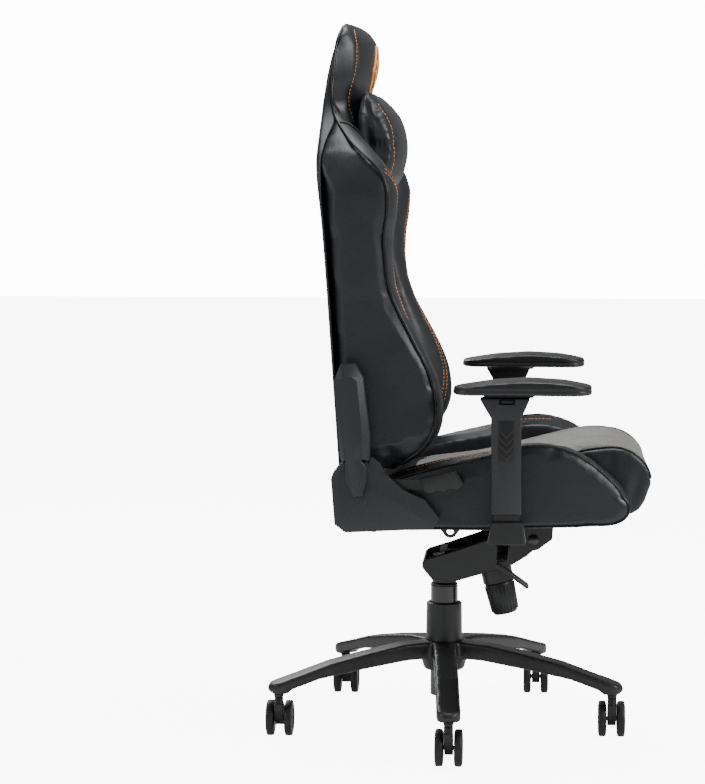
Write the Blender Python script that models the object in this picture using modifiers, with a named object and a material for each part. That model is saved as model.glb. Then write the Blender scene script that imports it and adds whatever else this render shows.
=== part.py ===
"""Gaming chair with a reclining back, tilting seat, gas lift and five twin-wheel casters.

Metres, +Z up. The sitter faces +X; names ending in _R are on the sitter's right (-Y).
Every shape is written in column coordinates: X = 0 and Y = 0 lie on the gas column's axis,
and Z = 0 is the floor. The column empty moves all of it so that the chair's box is centred.
"""

import math

import bmesh
import bpy
from mathutils import Matrix, Vector

# ---------------------------------------------------------------- driving dimensions
COLUMN_X = -0.0275         # the column's axis, behind the middle of the chair's box
TOUCH = 0.0003             # gap between faces that rest on each other
RUN = 0.0004               # radial gap of a shaft that turns in its bore

# five-star base and casters
CASTER_COUNT = 5
CASTER_CIRCLE = 0.3155     # column axis to caster stem
STAR_TURN = math.radians(3.5)
STAR_ARM_WIDTH = 0.042
HUB_RADIUS = 0.0400
HUB_TOP = 0.1630
HUB_BOTTOM = 0.1080
WHEEL_RADIUS = 0.0325
WHEEL_WIDTH = 0.0162
WHEEL_GAP = 0.0176         # between the two wheels of a pair
AXLE_RADIUS = 0.0040
CASTER_TRAIL = 0.0200      # stem axis to wheel axle
STEM_RADIUS = 0.0055
STEM_TOP = 0.0980
SOCKET_GAP = 0.0006

# gas column
OUTER_TUBE_RADIUS = 0.0250
OUTER_TUBE_WALL = 0.0015
OUTER_TUBE_BOTTOM = 0.0600
OUTER_TUBE_TOP = 0.2635
COVER_RADIUS = OUTER_TUBE_RADIUS + 0.0085        # plastic cover sleeve, at its foot
COVER_TOP = 0.2330
COVER_WALL = 0.0025
LIFT_RADIUS = 0.0140       # 28 mm gas cylinder
ROD_RADIUS = 0.0050
PIN_RADIUS = 0.0040

# tilt mechanism
SOCKET_BOTTOM = 0.2700
SOCKET_TOP = 0.3200
MECH_HALF_WIDTH = 0.0650
MECH_WALL = 0.0040
TILT_PIVOT = (0.162, 0.361)          # X, Z of the front pivot bolt
TILT_BOLT_RADIUS = 0.0060
TOP_PLATE_HALF_WIDTH = 0.0800
PLATE_THICKNESS = 0.0030
KNOB_AXIS_FOOT = (0.1130, 0.2130)    # X, Z at the knob's lower face
KNOB_TILT = math.radians(12.9)
KNOB_RADIUS = 0.0280
KNOB_LENGTH = 0.0600
LEVER_PIVOT_Y = -0.0550
LEVER_Z = 0.3500
LEVER_X = 0.1080
LEVER_REACH = 0.2450                 # column axis to the bend, along -Y
LEVER_STRAP = (0.0200, 0.0050)       # width and thickness

# seat
SEAT_UNDER = 0.3990        # top of the mechanism plate, where the seat frame sits
SEAT_TUBE_RADIUS = 0.0080
SEAT_TUBE_Y = 0.1500
SEAT_REAR_X = -0.1130      # rear tube of the seat frame
SEAT_FRONT_X = 0.2750
SEAT_PAN_THICKNESS = 0.0040
CUSHION_HALF_WIDTH = 0.1680
BOLSTER_OUTER_Y = 0.2570
BOLSTER_BOTTOM = 0.4045
CUSHION_REAR_X = -0.1000

# recliner
RECLINE_PIVOT = (-0.142, 0.486)      # X, Z
BACK_PLATE_Y = 0.2525      # inner face of the plate that carries the back
PLATE_T = 0.0050           # thickness of both recliner plates
COVER_FACE_Y = 0.2880      # outer face of the lower hinge cover
HINGE_COVER_WALL = 0.0030
PIVOT_STUD_RADIUS = 0.0080
LEVER_STUD_RADIUS = 0.0060
TONGUE_THICKNESS = 0.0070
LOWER_CROWN_RADIUS = 0.0440            # lower cover's top, round the pivot
COVER_BORDER_DEPTH = 0.0060            # depth of the sloping border round its face

# back
BACK_LEAN = math.radians(3.9)
BACK_FOOT = (-0.1735, 0.5000)        # X, Z of the rear face at the back's foot
BACK_COVER_T = 0.0120
BACK_TUBE_RADIUS = 0.0110
BACK_TUBE_ROOM = 0.0240
BACK_TUBE_Y = 0.2000
HEAD_TUBE_Y = 0.1000
BACK_CENTRE_HALF_WIDTH = 0.1500
BACK_BOTTOM = 0.4980
BACK_TOP = 1.2770
HEAD_START = BACK_TOP - 0.1770       # where the rear face starts to curve forward
BACK_HALF_WIDTH = 0.2510
SHOULDER_HALF_WIDTH = 0.2620
HEAD_HALF_WIDTH = 0.1480
PILLOW_HALF_WIDTH = 0.1380
SOFT_GAP = 0.0010          # between two upholstered pieces

# armrests
ARM_X = 0.1160             # post centre
ARM_Y = 0.3050
POST_SIZE = (0.0430, 0.0180)
ARM_PLATE_T = 0.0070
TRIM_BOTTOM = 0.3900
TRIM_TOP = 0.4285
SLEEVE_SIZE = (0.0540, 0.0340)
SLEEVE_BOTTOM = 0.4410
SLEEVE_NECK = 0.6050
SLEEVE_TOP = 0.6390
SWIVEL_PLATE_T = 0.0040
PAD_LENGTH = 0.2350
PAD_WIDTH = 0.0940
PAD_Y = 0.2835
PAD_X = 0.1415
PAD_BOTTOM = 0.6435
PAD_TOP = 0.6710
BUTTON_LENGTH = 0.0230

SIDES = {"R": -1.0, "L": 1.0}


# ---------------------------------------------------------------- scene helpers
def clear_scene():
    for obj in list(bpy.data.objects):
        bpy.data.objects.remove(obj, do_unlink=True)


def collection(name):
    made = bpy.data.collections.new(name)
    bpy.context.scene.collection.children.link(made)
    return made


def material(name, rgb, roughness, metallic=0.0):
    made = bpy.data.materials.new(name)
    made.use_nodes = True
    shader = made.node_tree.nodes["Principled BSDF"]
    shader.inputs["Base Color"].default_value = (*rgb, 1.0)
    shader.inputs["Roughness"].default_value = roughness
    shader.inputs["Metallic"].default_value = metallic
    return made


def add_object(name, data):
    obj = bpy.data.objects.new(name, data)
    PARTS.objects.link(obj)
    return obj


def add_empty(name, location, parent=None):
    """A joint's place; the location is in column coordinates."""
    empty = add_object(name, None)
    empty.empty_display_size = 0.03
    empty.parent = parent
    at = Vector(location)
    PLACES[empty.name] = at
    empty.location = at - (PLACES[parent.name] if parent else Vector())
    return empty


def part(obj, name, slot, joint):
    """Name the piece, give it its material and hang it on its joint's empty."""
    obj.name = name
    obj.data.name = name
    obj.data.materials.clear()
    obj.data.materials.append(MATERIALS[slot])
    obj.data.transform(Matrix.Translation(-PLACES[joint.name]))
    obj.data.shade_smooth()
    obj.data.set_sharp_from_angle(angle=math.radians(35))
    obj.parent = joint
    return obj


def mesh_object(bm, name="shape"):
    bmesh.ops.recalc_face_normals(bm, faces=bm.faces)
    mesh = bpy.data.meshes.new(name)
    bm.to_mesh(mesh)
    bm.free()
    return add_object(name, mesh)


def applied(obj):
    """The evaluated shape as a plain mesh in column coordinates, its loose caps welded."""
    bpy.context.view_layer.update()
    evaluated = obj.evaluated_get(bpy.context.evaluated_depsgraph_get())
    mesh = bpy.data.meshes.new_from_object(evaluated)
    mesh.transform(obj.matrix_world)
    bm = bmesh.new()
    bm.from_mesh(mesh)
    bmesh.ops.remove_doubles(bm, verts=bm.verts, dist=1e-6)
    bmesh.ops.dissolve_degenerate(bm, edges=bm.edges, dist=1e-7)
    made = mesh_object(bm)
    bpy.data.objects.remove(obj, do_unlink=True)
    return made


def boolean(target, tools, operation):
    for tool in tools:
        modifier = target.modifiers.new("boolean", "BOOLEAN")
        modifier.operation = operation
        modifier.solver = "EXACT"
        modifier.object = tool
    made = applied(target)
    for tool in tools:
        bpy.data.objects.remove(tool, do_unlink=True)
    return made


def join(target, *tools):
    return boolean(target, tools, "UNION")


def cut(target, *tools):
    return boolean(target, tools, "DIFFERENCE")


def common(target, *tools):
    return boolean(target, tools, "INTERSECT")


def bevelled(obj, width, segments=2, angle=30.0):
    modifier = obj.modifiers.new("bevel", "BEVEL")
    modifier.width = width
    modifier.segments = segments
    modifier.angle_limit = math.radians(angle)
    return applied(obj)


# ---------------------------------------------------------------- shape helpers
def box(x, y, z):
    """A box from (low, high) pairs."""
    bm = bmesh.new()
    bmesh.ops.create_cube(bm, size=1.0)
    size = Matrix.Diagonal((x[1] - x[0], y[1] - y[0], z[1] - z[0], 1.0))
    middle = Matrix.Translation(((x[0] + x[1]) / 2, (y[0] + y[1]) / 2, (z[0] + z[1]) / 2))
    bm.transform(middle @ size)
    return mesh_object(bm)


def rod(start, end, radius, end_radius=None, sides=24):
    start, end = Vector(start), Vector(end)
    along = end - start
    turn = along.to_track_quat("Z", "Y").to_matrix().to_4x4()
    place = Matrix.Translation((start + end) / 2) @ turn
    bm = bmesh.new()
    bmesh.ops.create_cone(
        bm, cap_ends=True, segments=sides, radius1=radius,
        radius2=radius if end_radius is None else end_radius,
        depth=along.length, matrix=place)
    return mesh_object(bm)


def turned(profile, sides=24, closed=False):
    """A profile of (radius, height) turned about Z, from the top down its outer side."""
    bm = bmesh.new()
    points = [bm.verts.new((r, 0.0, z)) for r, z in profile]
    for a, b in zip(points, points[1:]):
        bm.edges.new((a, b))
    if closed:
        bm.edges.new((points[-1], points[0]))
    mesh = bpy.data.meshes.new("profile")
    bm.to_mesh(mesh)
    bm.free()
    obj = add_object("turned", mesh)
    screw = obj.modifiers.new("screw", "SCREW")
    screw.steps = sides
    screw.render_steps = sides
    screw.use_merge_vertices = True
    screw.merge_threshold = 0.00001
    return applied(obj)


def outline_curve(points, half_thickness, smooth=False, resolution=2):
    """A closed flat outline in X-Z, thickened along Y about Y = 0."""
    curve = bpy.data.curves.new("outline", "CURVE")
    curve.dimensions = "2D"
    curve.fill_mode = "BOTH"
    curve.extrude = half_thickness
    if smooth:
        spline = curve.splines.new("BEZIER")
        spline.bezier_points.add(len(points) - 1)
        spline.resolution_u = resolution
        for knot, point in zip(spline.bezier_points, points):
            knot.co = (point[0], point[1], 0.0)
            kind = "VECTOR" if len(point) > 2 else "AUTO"
            knot.handle_left_type = kind
            knot.handle_right_type = kind
    else:
        spline = curve.splines.new("POLY")
        spline.points.add(len(points) - 1)
        for knot, point in zip(spline.points, points):
            knot.co = (point[0], point[1], 0.0, 1.0)
    spline.use_cyclic_u = True
    obj = add_object("outline", curve)
    obj.rotation_euler = (math.radians(90), 0.0, 0.0)
    return obj


def side_slab(points, y, **options):
    """A side view outline in X-Z, solid between y[0] and y[1]. A third value makes a corner."""
    obj = outline_curve(points, abs(y[1] - y[0]) / 2, **options)
    obj.location.y = (y[0] + y[1]) / 2
    return applied(obj)


def front_slab(points, x, **options):
    """A front view outline in Y-Z, solid between x[0] and x[1]."""
    obj = outline_curve(points, abs(x[1] - x[0]) / 2, **options)
    obj.rotation_euler = (math.radians(90), 0.0, math.radians(90))
    obj.location.x = (x[0] + x[1]) / 2
    return applied(obj)


def plan_slab(points, z):
    """A plan view outline in X-Y, solid between z[0] and z[1]."""
    obj = outline_curve(points, abs(z[1] - z[0]) / 2)
    obj.rotation_euler = (0.0, 0.0, 0.0)
    obj.location.z = (z[0] + z[1]) / 2
    return applied(obj)


def rounded(points, steps=3):
    """Corners (a, b, radius) as a list of points, each corner replaced by an arc."""
    made = []
    count = len(points)
    for i, (a, b, radius) in enumerate(points):
        corner = Vector((a, b))
        before = (Vector(points[i - 1][:2]) - corner).normalized()
        after = (Vector(points[(i + 1) % count][:2]) - corner).normalized()
        if radius <= 0.0:
            made.append((a, b))
            continue
        half = before.angle(after) / 2
        centre = corner + (before + after).normalized() * (radius / math.sin(half))
        first = (corner + before * (radius / math.tan(half)) - centre).normalized()
        last = (corner + after * (radius / math.tan(half)) - centre).normalized()
        for step in range(steps + 1):
            ray = first.slerp(last, step / steps) * radius
            made.append((centre.x + ray.x, centre.y + ray.y))
    return made


def arc(centre, radius, start, end, steps):
    """Points of an arc, angles in degrees."""
    angles = [math.radians(start + (end - start) * i / steps) for i in range(steps + 1)]
    return [(centre[0] + radius * math.cos(a), centre[1] + radius * math.sin(a)) for a in angles]


def tube(points, radius, cyclic=False, bevel_resolution=3):
    curve = bpy.data.curves.new("tube", "CURVE")
    curve.dimensions = "3D"
    curve.bevel_depth = radius
    curve.bevel_resolution = bevel_resolution
    curve.use_fill_caps = True
    spline = curve.splines.new("POLY")
    spline.points.add(len(points) - 1)
    for knot, point in zip(spline.points, points):
        knot.co = (*point, 1.0)
    spline.use_cyclic_u = cyclic
    return applied(add_object("tube", curve))


def mirrored(obj):
    """The same shape on the other side of the chair's middle plane."""
    bm = bmesh.new()
    bm.from_mesh(obj.data)
    bmesh.ops.scale(bm, vec=(1.0, -1.0, 1.0), verts=bm.verts)
    return mesh_object(bm)


def spun(obj, angle):
    obj.data.transform(Matrix.Rotation(angle, 4, "Z"))
    return obj


def inset(points, distance):
    """A closed anticlockwise outline with every side moved inwards by a distance."""
    made = []
    count = len(points)
    for i, point in enumerate(points):
        ahead = (Vector(points[(i + 1) % count]) - Vector(point)).normalized()
        behind = (Vector(point) - Vector(points[i - 1])).normalized()
        side = Vector((-ahead.y, ahead.x))
        middle = (side + Vector((-behind.y, behind.x))).normalized()
        made.append(tuple(Vector(point) + middle * (distance / middle.dot(side))))
    return made


def side_loft(rings):
    """A solid through side view outlines (points, y) with equal numbers of points."""
    bm = bmesh.new()
    loops = [[bm.verts.new((x, y, z)) for x, z in points] for points, y in rings]
    for low, high in zip(loops, loops[1:]):
        for i in range(len(low)):
            j = (i + 1) % len(low)
            bm.faces.new((low[i], low[j], high[j], high[i]))
    bm.faces.new(loops[0])
    bm.faces.new(list(reversed(loops[-1])))
    bm.normal_update()
    bmesh.ops.triangulate(bm, faces=bm.faces)
    return mesh_object(bm)


def moved(obj, offset):
    obj.data.transform(Matrix.Translation(offset))
    return obj


def pair(name, slot, joints, shape):
    """A left and a right piece. The shape is made for the right side."""
    other = mirrored(shape)
    part(shape, name + "_R", slot, joints["R"])
    part(other, name + "_L", slot, joints["L"])


# ---------------------------------------------------------------- base and column
def caster_place(index):
    angle = -math.pi / 2 + STAR_TURN + index * 2 * math.pi / CASTER_COUNT
    return CASTER_CIRCLE * math.cos(angle), CASTER_CIRCLE * math.sin(angle), angle


def make_base(base):
    tip = CASTER_CIRCLE
    root = HUB_RADIUS - 0.0085     # inside the hub, short of the next arm
    arm_side = [
        (root, 0.1300), (0.080, 0.1290), (0.157, 0.1190), (tip - 0.073, 0.1060),
        (tip - 0.020, 0.0900), (tip - 0.012, 0.0830), (tip + 0.012, 0.0830),
        (tip + 0.020, 0.0880), (tip + 0.021, 0.0950), (tip + 0.012, 0.1020),
        (tip - 0.045, 0.1185), (tip - 0.095, 0.1340), (0.150, 0.1480),
        (0.085, 0.1590), (root, 0.1620)]
    half = STAR_ARM_WIDTH / 2
    star = turned([
        (0.0, HUB_TOP), (HUB_RADIUS - 0.002, HUB_TOP), (HUB_RADIUS, HUB_TOP - 0.003),
        (HUB_RADIUS + 0.003, 0.1300), (HUB_RADIUS - 0.003, HUB_BOTTOM), (0.0, HUB_BOTTOM)])
    arms = []
    for index in range(CASTER_COUNT):
        plan = plan_slab([(0.0, -half), (tip, -half)] + arc((tip, 0.0), half, -75, 75, 10)
                         + [(tip, half), (0.0, half)], (0.05, 0.20))
        arm = common(side_slab(arm_side, (-half - 0.01, half + 0.01)), plan)
        arms.append(spun(arm, caster_place(index)[2]))
    star = join(star, *arms)
    holes = [rod((0, 0, HUB_BOTTOM - 0.01), (0, 0, HUB_TOP + 0.01), OUTER_TUBE_RADIUS + TOUCH)]
    for index in range(CASTER_COUNT):
        x, y, _ = caster_place(index)
        holes.append(rod((x, y, 0.07), (x, y, STEM_TOP + 0.001),
                         STEM_RADIUS + SOCKET_GAP, sides=16))
    part(cut(star, *holes), "base_star", "cast_metal", base)


def make_caster(index, swivel, roll):
    x, y, _ = caster_place(index)
    axle = (x, y + CASTER_TRAIL, WHEEL_RADIUS)
    cheek = WHEEL_GAP / 2 - 0.0012
    neck_bottom = 2 * WHEEL_RADIUS - 0.002
    body = front_slab(
        arc((CASTER_TRAIL, WHEEL_RADIUS), 0.0125, -150, 20, 6)
        + [(CASTER_TRAIL + 0.012, 0.050), (0.014, neck_bottom), (-0.011, neck_bottom),
           (-0.011, 0.052)],
        (-cheek, cheek))
    stem = turned([
        (0.0, STEM_TOP), (STEM_RADIUS, STEM_TOP), (STEM_RADIUS, 0.0755), (0.0082, 0.0745),
        (0.0082, neck_bottom - 0.008), (0.0, neck_bottom - 0.008)], sides=16)
    bore = rod((-0.02, CASTER_TRAIL, WHEEL_RADIUS), (0.02, CASTER_TRAIL, WHEEL_RADIUS),
               AXLE_RADIUS + RUN, sides=16)
    fork = cut(join(body, stem), bore)
    part(moved(fork, (x, y, 0.0)), f"caster_fork_{index + 1}", "moulded_nylon", swivel)

    inner, outer = WHEEL_GAP / 2, WHEEL_GAP / 2 + WHEEL_WIDTH
    rim = WHEEL_RADIUS
    half_profile = [
        (0.0, outer - 0.003), (rim - 0.0095, outer - 0.003), (rim - 0.0065, outer),
        (rim - 0.002, outer),
        (rim, outer - 0.003), (rim, inner + 0.003), (rim - 0.002, inner), (AXLE_RADIUS, inner)]
    profile = half_profile + [(r, -h) for r, h in reversed(half_profile)]
    wheels = turned(profile, sides=16)
    wheels.data.transform(Matrix.Translation(axle) @ Matrix.Rotation(math.pi / 2, 4, "Y"))
    part(wheels, f"caster_wheels_{index + 1}", "tread", roll)


def make_column(base, rod_body, lift):
    tube_in = OUTER_TUBE_RADIUS - OUTER_TUBE_WALL
    floor_top = OUTER_TUBE_BOTTOM + 0.003
    part(turned([
        (tube_in, OUTER_TUBE_TOP), (OUTER_TUBE_RADIUS, OUTER_TUBE_TOP),
        (OUTER_TUBE_RADIUS, OUTER_TUBE_BOTTOM), (ROD_RADIUS + 0.0015, OUTER_TUBE_BOTTOM),
        (ROD_RADIUS + 0.0015, floor_top), (tube_in, floor_top)], closed=True),
        "gas_outer_tube", "column_paint", base)
    part(turned([
        (COVER_RADIUS - 0.0045, COVER_TOP), (COVER_RADIUS - 0.0010, COVER_TOP - 0.0020),
        (COVER_RADIUS, HUB_TOP + TOUCH), (COVER_RADIUS - COVER_WALL, HUB_TOP + TOUCH),
        (COVER_RADIUS - COVER_WALL, COVER_TOP - 0.0045),
        (OUTER_TUBE_RADIUS + 0.0006, COVER_TOP - 0.0045),
        (OUTER_TUBE_RADIUS + 0.0006, COVER_TOP)], closed=True),
        "column_cover", "satin_plastic", base)
    flange = OUTER_TUBE_TOP + TOUCH
    part(turned([
        (LIFT_RADIUS + RUN, flange + 0.0040), (0.0235, flange + 0.0040),
        (OUTER_TUBE_RADIUS, flange + 0.0028), (OUTER_TUBE_RADIUS, flange),
        (tube_in - TOUCH, flange), (tube_in - TOUCH, flange - 0.0600),
        (LIFT_RADIUS + RUN, flange - 0.0600)], closed=True),
        "guide_bushing", "satin_plastic", base)
    bearing_top = floor_top + 0.0070
    part(turned([
        (ROD_RADIUS + 0.0012, bearing_top), (0.0120, bearing_top),
        (0.0130, bearing_top - 0.0015), (0.0130, floor_top + 0.0018),
        (0.0120, floor_top + TOUCH), (ROD_RADIUS + 0.0012, floor_top + TOUCH)],
        sides=20, closed=True), "thrust_bearing", "bright_steel", base)
    rod_foot = OUTER_TUBE_BOTTOM - 0.0045
    shoulder = bearing_top + TOUCH
    part(turned([
        (0.0, 0.2100), (ROD_RADIUS, 0.2100), (ROD_RADIUS, shoulder + 0.0030),
        (0.0090, shoulder + 0.0030), (0.0090, shoulder), (ROD_RADIUS, shoulder),
        (ROD_RADIUS, rod_foot), (0.0, rod_foot)], sides=16),
        "piston_rod", "bright_steel", rod_body)
    part(turned([
        (ROD_RADIUS + TOUCH, OUTER_TUBE_BOTTOM - TOUCH), (0.0100, OUTER_TUBE_BOTTOM - TOUCH),
        (0.0100, OUTER_TUBE_BOTTOM - 0.0020), (ROD_RADIUS + TOUCH, OUTER_TUBE_BOTTOM - 0.0020)],
        sides=16, closed=True), "rod_clip", "bright_steel", rod_body)
    cylinder_foot = 0.0950
    solid = turned([
        (0.0, SOCKET_TOP), (LIFT_RADIUS - 0.0010, SOCKET_TOP), (LIFT_RADIUS, SOCKET_BOTTOM),
        (LIFT_RADIUS, cylinder_foot), (0.0, cylinder_foot)])
    solid = cut(
        solid,
        rod((0, 0, cylinder_foot - 0.01), (0, 0, 0.2200), ROD_RADIUS + TOUCH, sides=16),
        rod((0, 0, SOCKET_TOP - 0.0120), (0, 0, SOCKET_TOP + 0.01),
            PIN_RADIUS + TOUCH, sides=16))
    part(solid, "gas_cylinder", "column_paint", lift)


# ---------------------------------------------------------------- tilt mechanism
def knob_point(distance, across=0.0):
    """A point on the tension knob's axis, measured up from its foot."""
    x = KNOB_AXIS_FOOT[0] - distance * math.sin(KNOB_TILT) + across * math.cos(KNOB_TILT)
    z = KNOB_AXIS_FOOT[1] + distance * math.cos(KNOB_TILT) + across * math.sin(KNOB_TILT)
    return x, 0.0, z


def make_mechanism(mech, knob, lever_turn, lever_slide, pin):
    width = MECH_HALF_WIDTH
    pivot_x, pivot_z = TILT_PIVOT
    nose = arc(TILT_PIVOT, 0.018, -70, 95, 6)
    shell = [
        (-0.020, 0.2830), (0.024, 0.2810), (0.060, 0.2920), (0.115, 0.3060),
        (0.150, 0.3280)] + nose + [
        (0.120, 0.3700), (0.082, 0.3600), (0.037, 0.3440), (0.005, 0.3330),
        (-0.030, 0.3220), (-0.038, 0.3160), (-0.038, 0.3050)]
    body = bevelled(side_slab(shell, (-width, width)), 0.006, 1, 50)
    wall = MECH_WALL
    hollow = [
        (-0.018 + wall, 0.2830 + wall), (0.023, 0.2810 + wall), (0.059, 0.2920 + wall),
        (0.113, 0.3060 + wall), (pivot_x - 0.024, 0.3320), (pivot_x - 0.024, 0.4000),
        (-0.033, 0.4000), (-0.033, 0.3060)]
    body = cut(body, side_slab(hollow, (-width + wall, width - wall)))
    socket = rod((0, 0, SOCKET_BOTTOM), (0, 0, SOCKET_TOP), 0.0220)
    turret = rod(knob_point(KNOB_LENGTH + 0.0006), knob_point(0.1250), 0.0285)
    body = join(body, socket, turret)
    bore = turned([
        (0.0, SOCKET_TOP + 0.0100), (LIFT_RADIUS - 0.0010 + TOUCH, SOCKET_TOP + 0.0100),
        (LIFT_RADIUS - 0.0010 + TOUCH, SOCKET_TOP + TOUCH),
        (LIFT_RADIUS + TOUCH, SOCKET_BOTTOM), (LIFT_RADIUS + TOUCH, SOCKET_BOTTOM - 0.01),
        (0.0, SOCKET_BOTTOM - 0.01)])
    spring_room = rod(knob_point(KNOB_LENGTH + 0.0040), knob_point(0.2000), 0.0245)
    bolt_hole = rod(knob_point(KNOB_LENGTH - 0.01), knob_point(KNOB_LENGTH + 0.02), 0.0045,
                    sides=16)
    pin_bore = rod((pivot_x, -0.1, pivot_z), (pivot_x, 0.1, pivot_z),
                   TILT_BOLT_RADIUS + RUN, sides=20)
    strap, thick = LEVER_STRAP
    slot = box((LEVER_X - strap / 2 - 0.0020, LEVER_X + strap / 2 + 0.0020),
               (-width - 0.01, -width + wall + 0.004),
               (LEVER_Z - thick / 2 - 0.0030, LEVER_Z + thick / 2 + 0.0040))
    body = cut(body, bore, spring_room, bolt_hole, pin_bore, slot)
    part(body, "mech_body", "black_steel", mech)

    # a bolt through the ears of the top plate, with a domed head on each end
    ear = TOP_PLATE_HALF_WIDTH + TOUCH
    head = [(0.0, ear + 0.0050), (0.0060, ear + 0.0046), (0.0100, ear + 0.0020), (0.0100, ear)]
    shank = [(TILT_BOLT_RADIUS, ear)]
    half = head + shank
    bolt = turned(half + [(r, -h) for r, h in reversed(half)], sides=20)
    bolt.data.transform(Matrix.Translation((pivot_x, 0, pivot_z))
                        @ Matrix.Rotation(math.pi / 2, 4, "X"))
    part(bolt, "tilt_pivot_bolt", "black_steel", mech)

    # preloaded coil in the turret, round the knob's bolt
    wire, coil_radius, turns, per_turn = 0.0030, 0.0200, 4, 9
    low, high = KNOB_LENGTH + 0.0040 + wire + TOUCH, 0.1130
    coil = []
    for step in range(turns * per_turn + 1):
        angle = 2 * math.pi * step / per_turn
        rise = low + (high - low) * step / (turns * per_turn)
        x, _, z = knob_point(rise, coil_radius * math.cos(angle))
        coil.append((x, coil_radius * math.sin(angle), z))
    part(tube(coil, wire, bevel_resolution=2), "tension_spring", "bright_steel", mech)

    # ribbed knob with its bolt
    top = KNOB_LENGTH
    shape = turned([
        (0.0, top + 0.0450), (0.0040, top + 0.0450), (0.0040, top), (0.0270, top),
        (KNOB_RADIUS, top - 0.0030), (KNOB_RADIUS, 0.0200), (KNOB_RADIUS - 0.0035, 0.0050),
        (KNOB_RADIUS - 0.0080, 0.0), (0.0, 0.0)], sides=28)
    shape.data.transform(
        Matrix.Translation((KNOB_AXIS_FOOT[0], 0.0, KNOB_AXIS_FOOT[1]))
        @ Matrix.Rotation(-KNOB_TILT, 4, "Y"))
    part(shape, "tension_knob", "satin_plastic", knob)

    # height lever: a block on its cross pin, and a strap that slides in the block
    room = 0.0004
    block = box((LEVER_X - 0.0120, LEVER_X + 0.0120), (-0.0600, -0.0440),
                (LEVER_Z - 0.0060, LEVER_Z + 0.0060))
    finger_low = SOCKET_TOP + 0.0126
    finger = join(
        box((-0.0060, LEVER_X - 0.0080), (-0.0520, -0.0450), (finger_low, finger_low + 0.0050)),
        box((-0.0060, 0.0060), (-0.0480, 0.0060), (finger_low, finger_low + 0.0050)),
        box((LEVER_X - 0.0150, LEVER_X - 0.0080), (-0.0520, -0.0450),
            (finger_low, LEVER_Z + 0.0040)))
    block = join(block, finger)
    window = box((LEVER_X - strap / 2 - room, LEVER_X + strap / 2 + room), (-0.0700, -0.0300),
                 (LEVER_Z - thick / 2 - room, LEVER_Z + thick / 2 + room))
    part(cut(block, window), "lever_block", "black_steel", lever_turn)
    bar = box((LEVER_X - strap / 2, LEVER_X + strap / 2), (-LEVER_REACH, -0.0400),
              (LEVER_Z - thick / 2, LEVER_Z + thick / 2))
    part(bevelled(bar, 0.0008, 1), "height_lever", "black_steel", lever_slide)
    blade = box((-0.0040, 0.0640), (-0.0150, 0.0150), (-0.0030, 0.0030))
    blade = bevelled(blade, 0.0020, 2)
    blade.data.transform(
        Matrix.Translation((LEVER_X - 0.0060, -LEVER_REACH - 0.0160, LEVER_Z - 0.0040))
        @ Matrix.Rotation(math.radians(36), 4, "Y"))
    part(blade, "lever_paddle", "satin_plastic", lever_slide)

    part(turned([
        (0.0, finger_low - TOUCH), (PIN_RADIUS - 0.001, finger_low - TOUCH),
        (PIN_RADIUS, finger_low - 0.0010), (PIN_RADIUS, SOCKET_TOP - 0.0050),
        (0.0, SOCKET_TOP - 0.0050)], sides=16), "release_pin", "bright_steel", pin)


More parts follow.
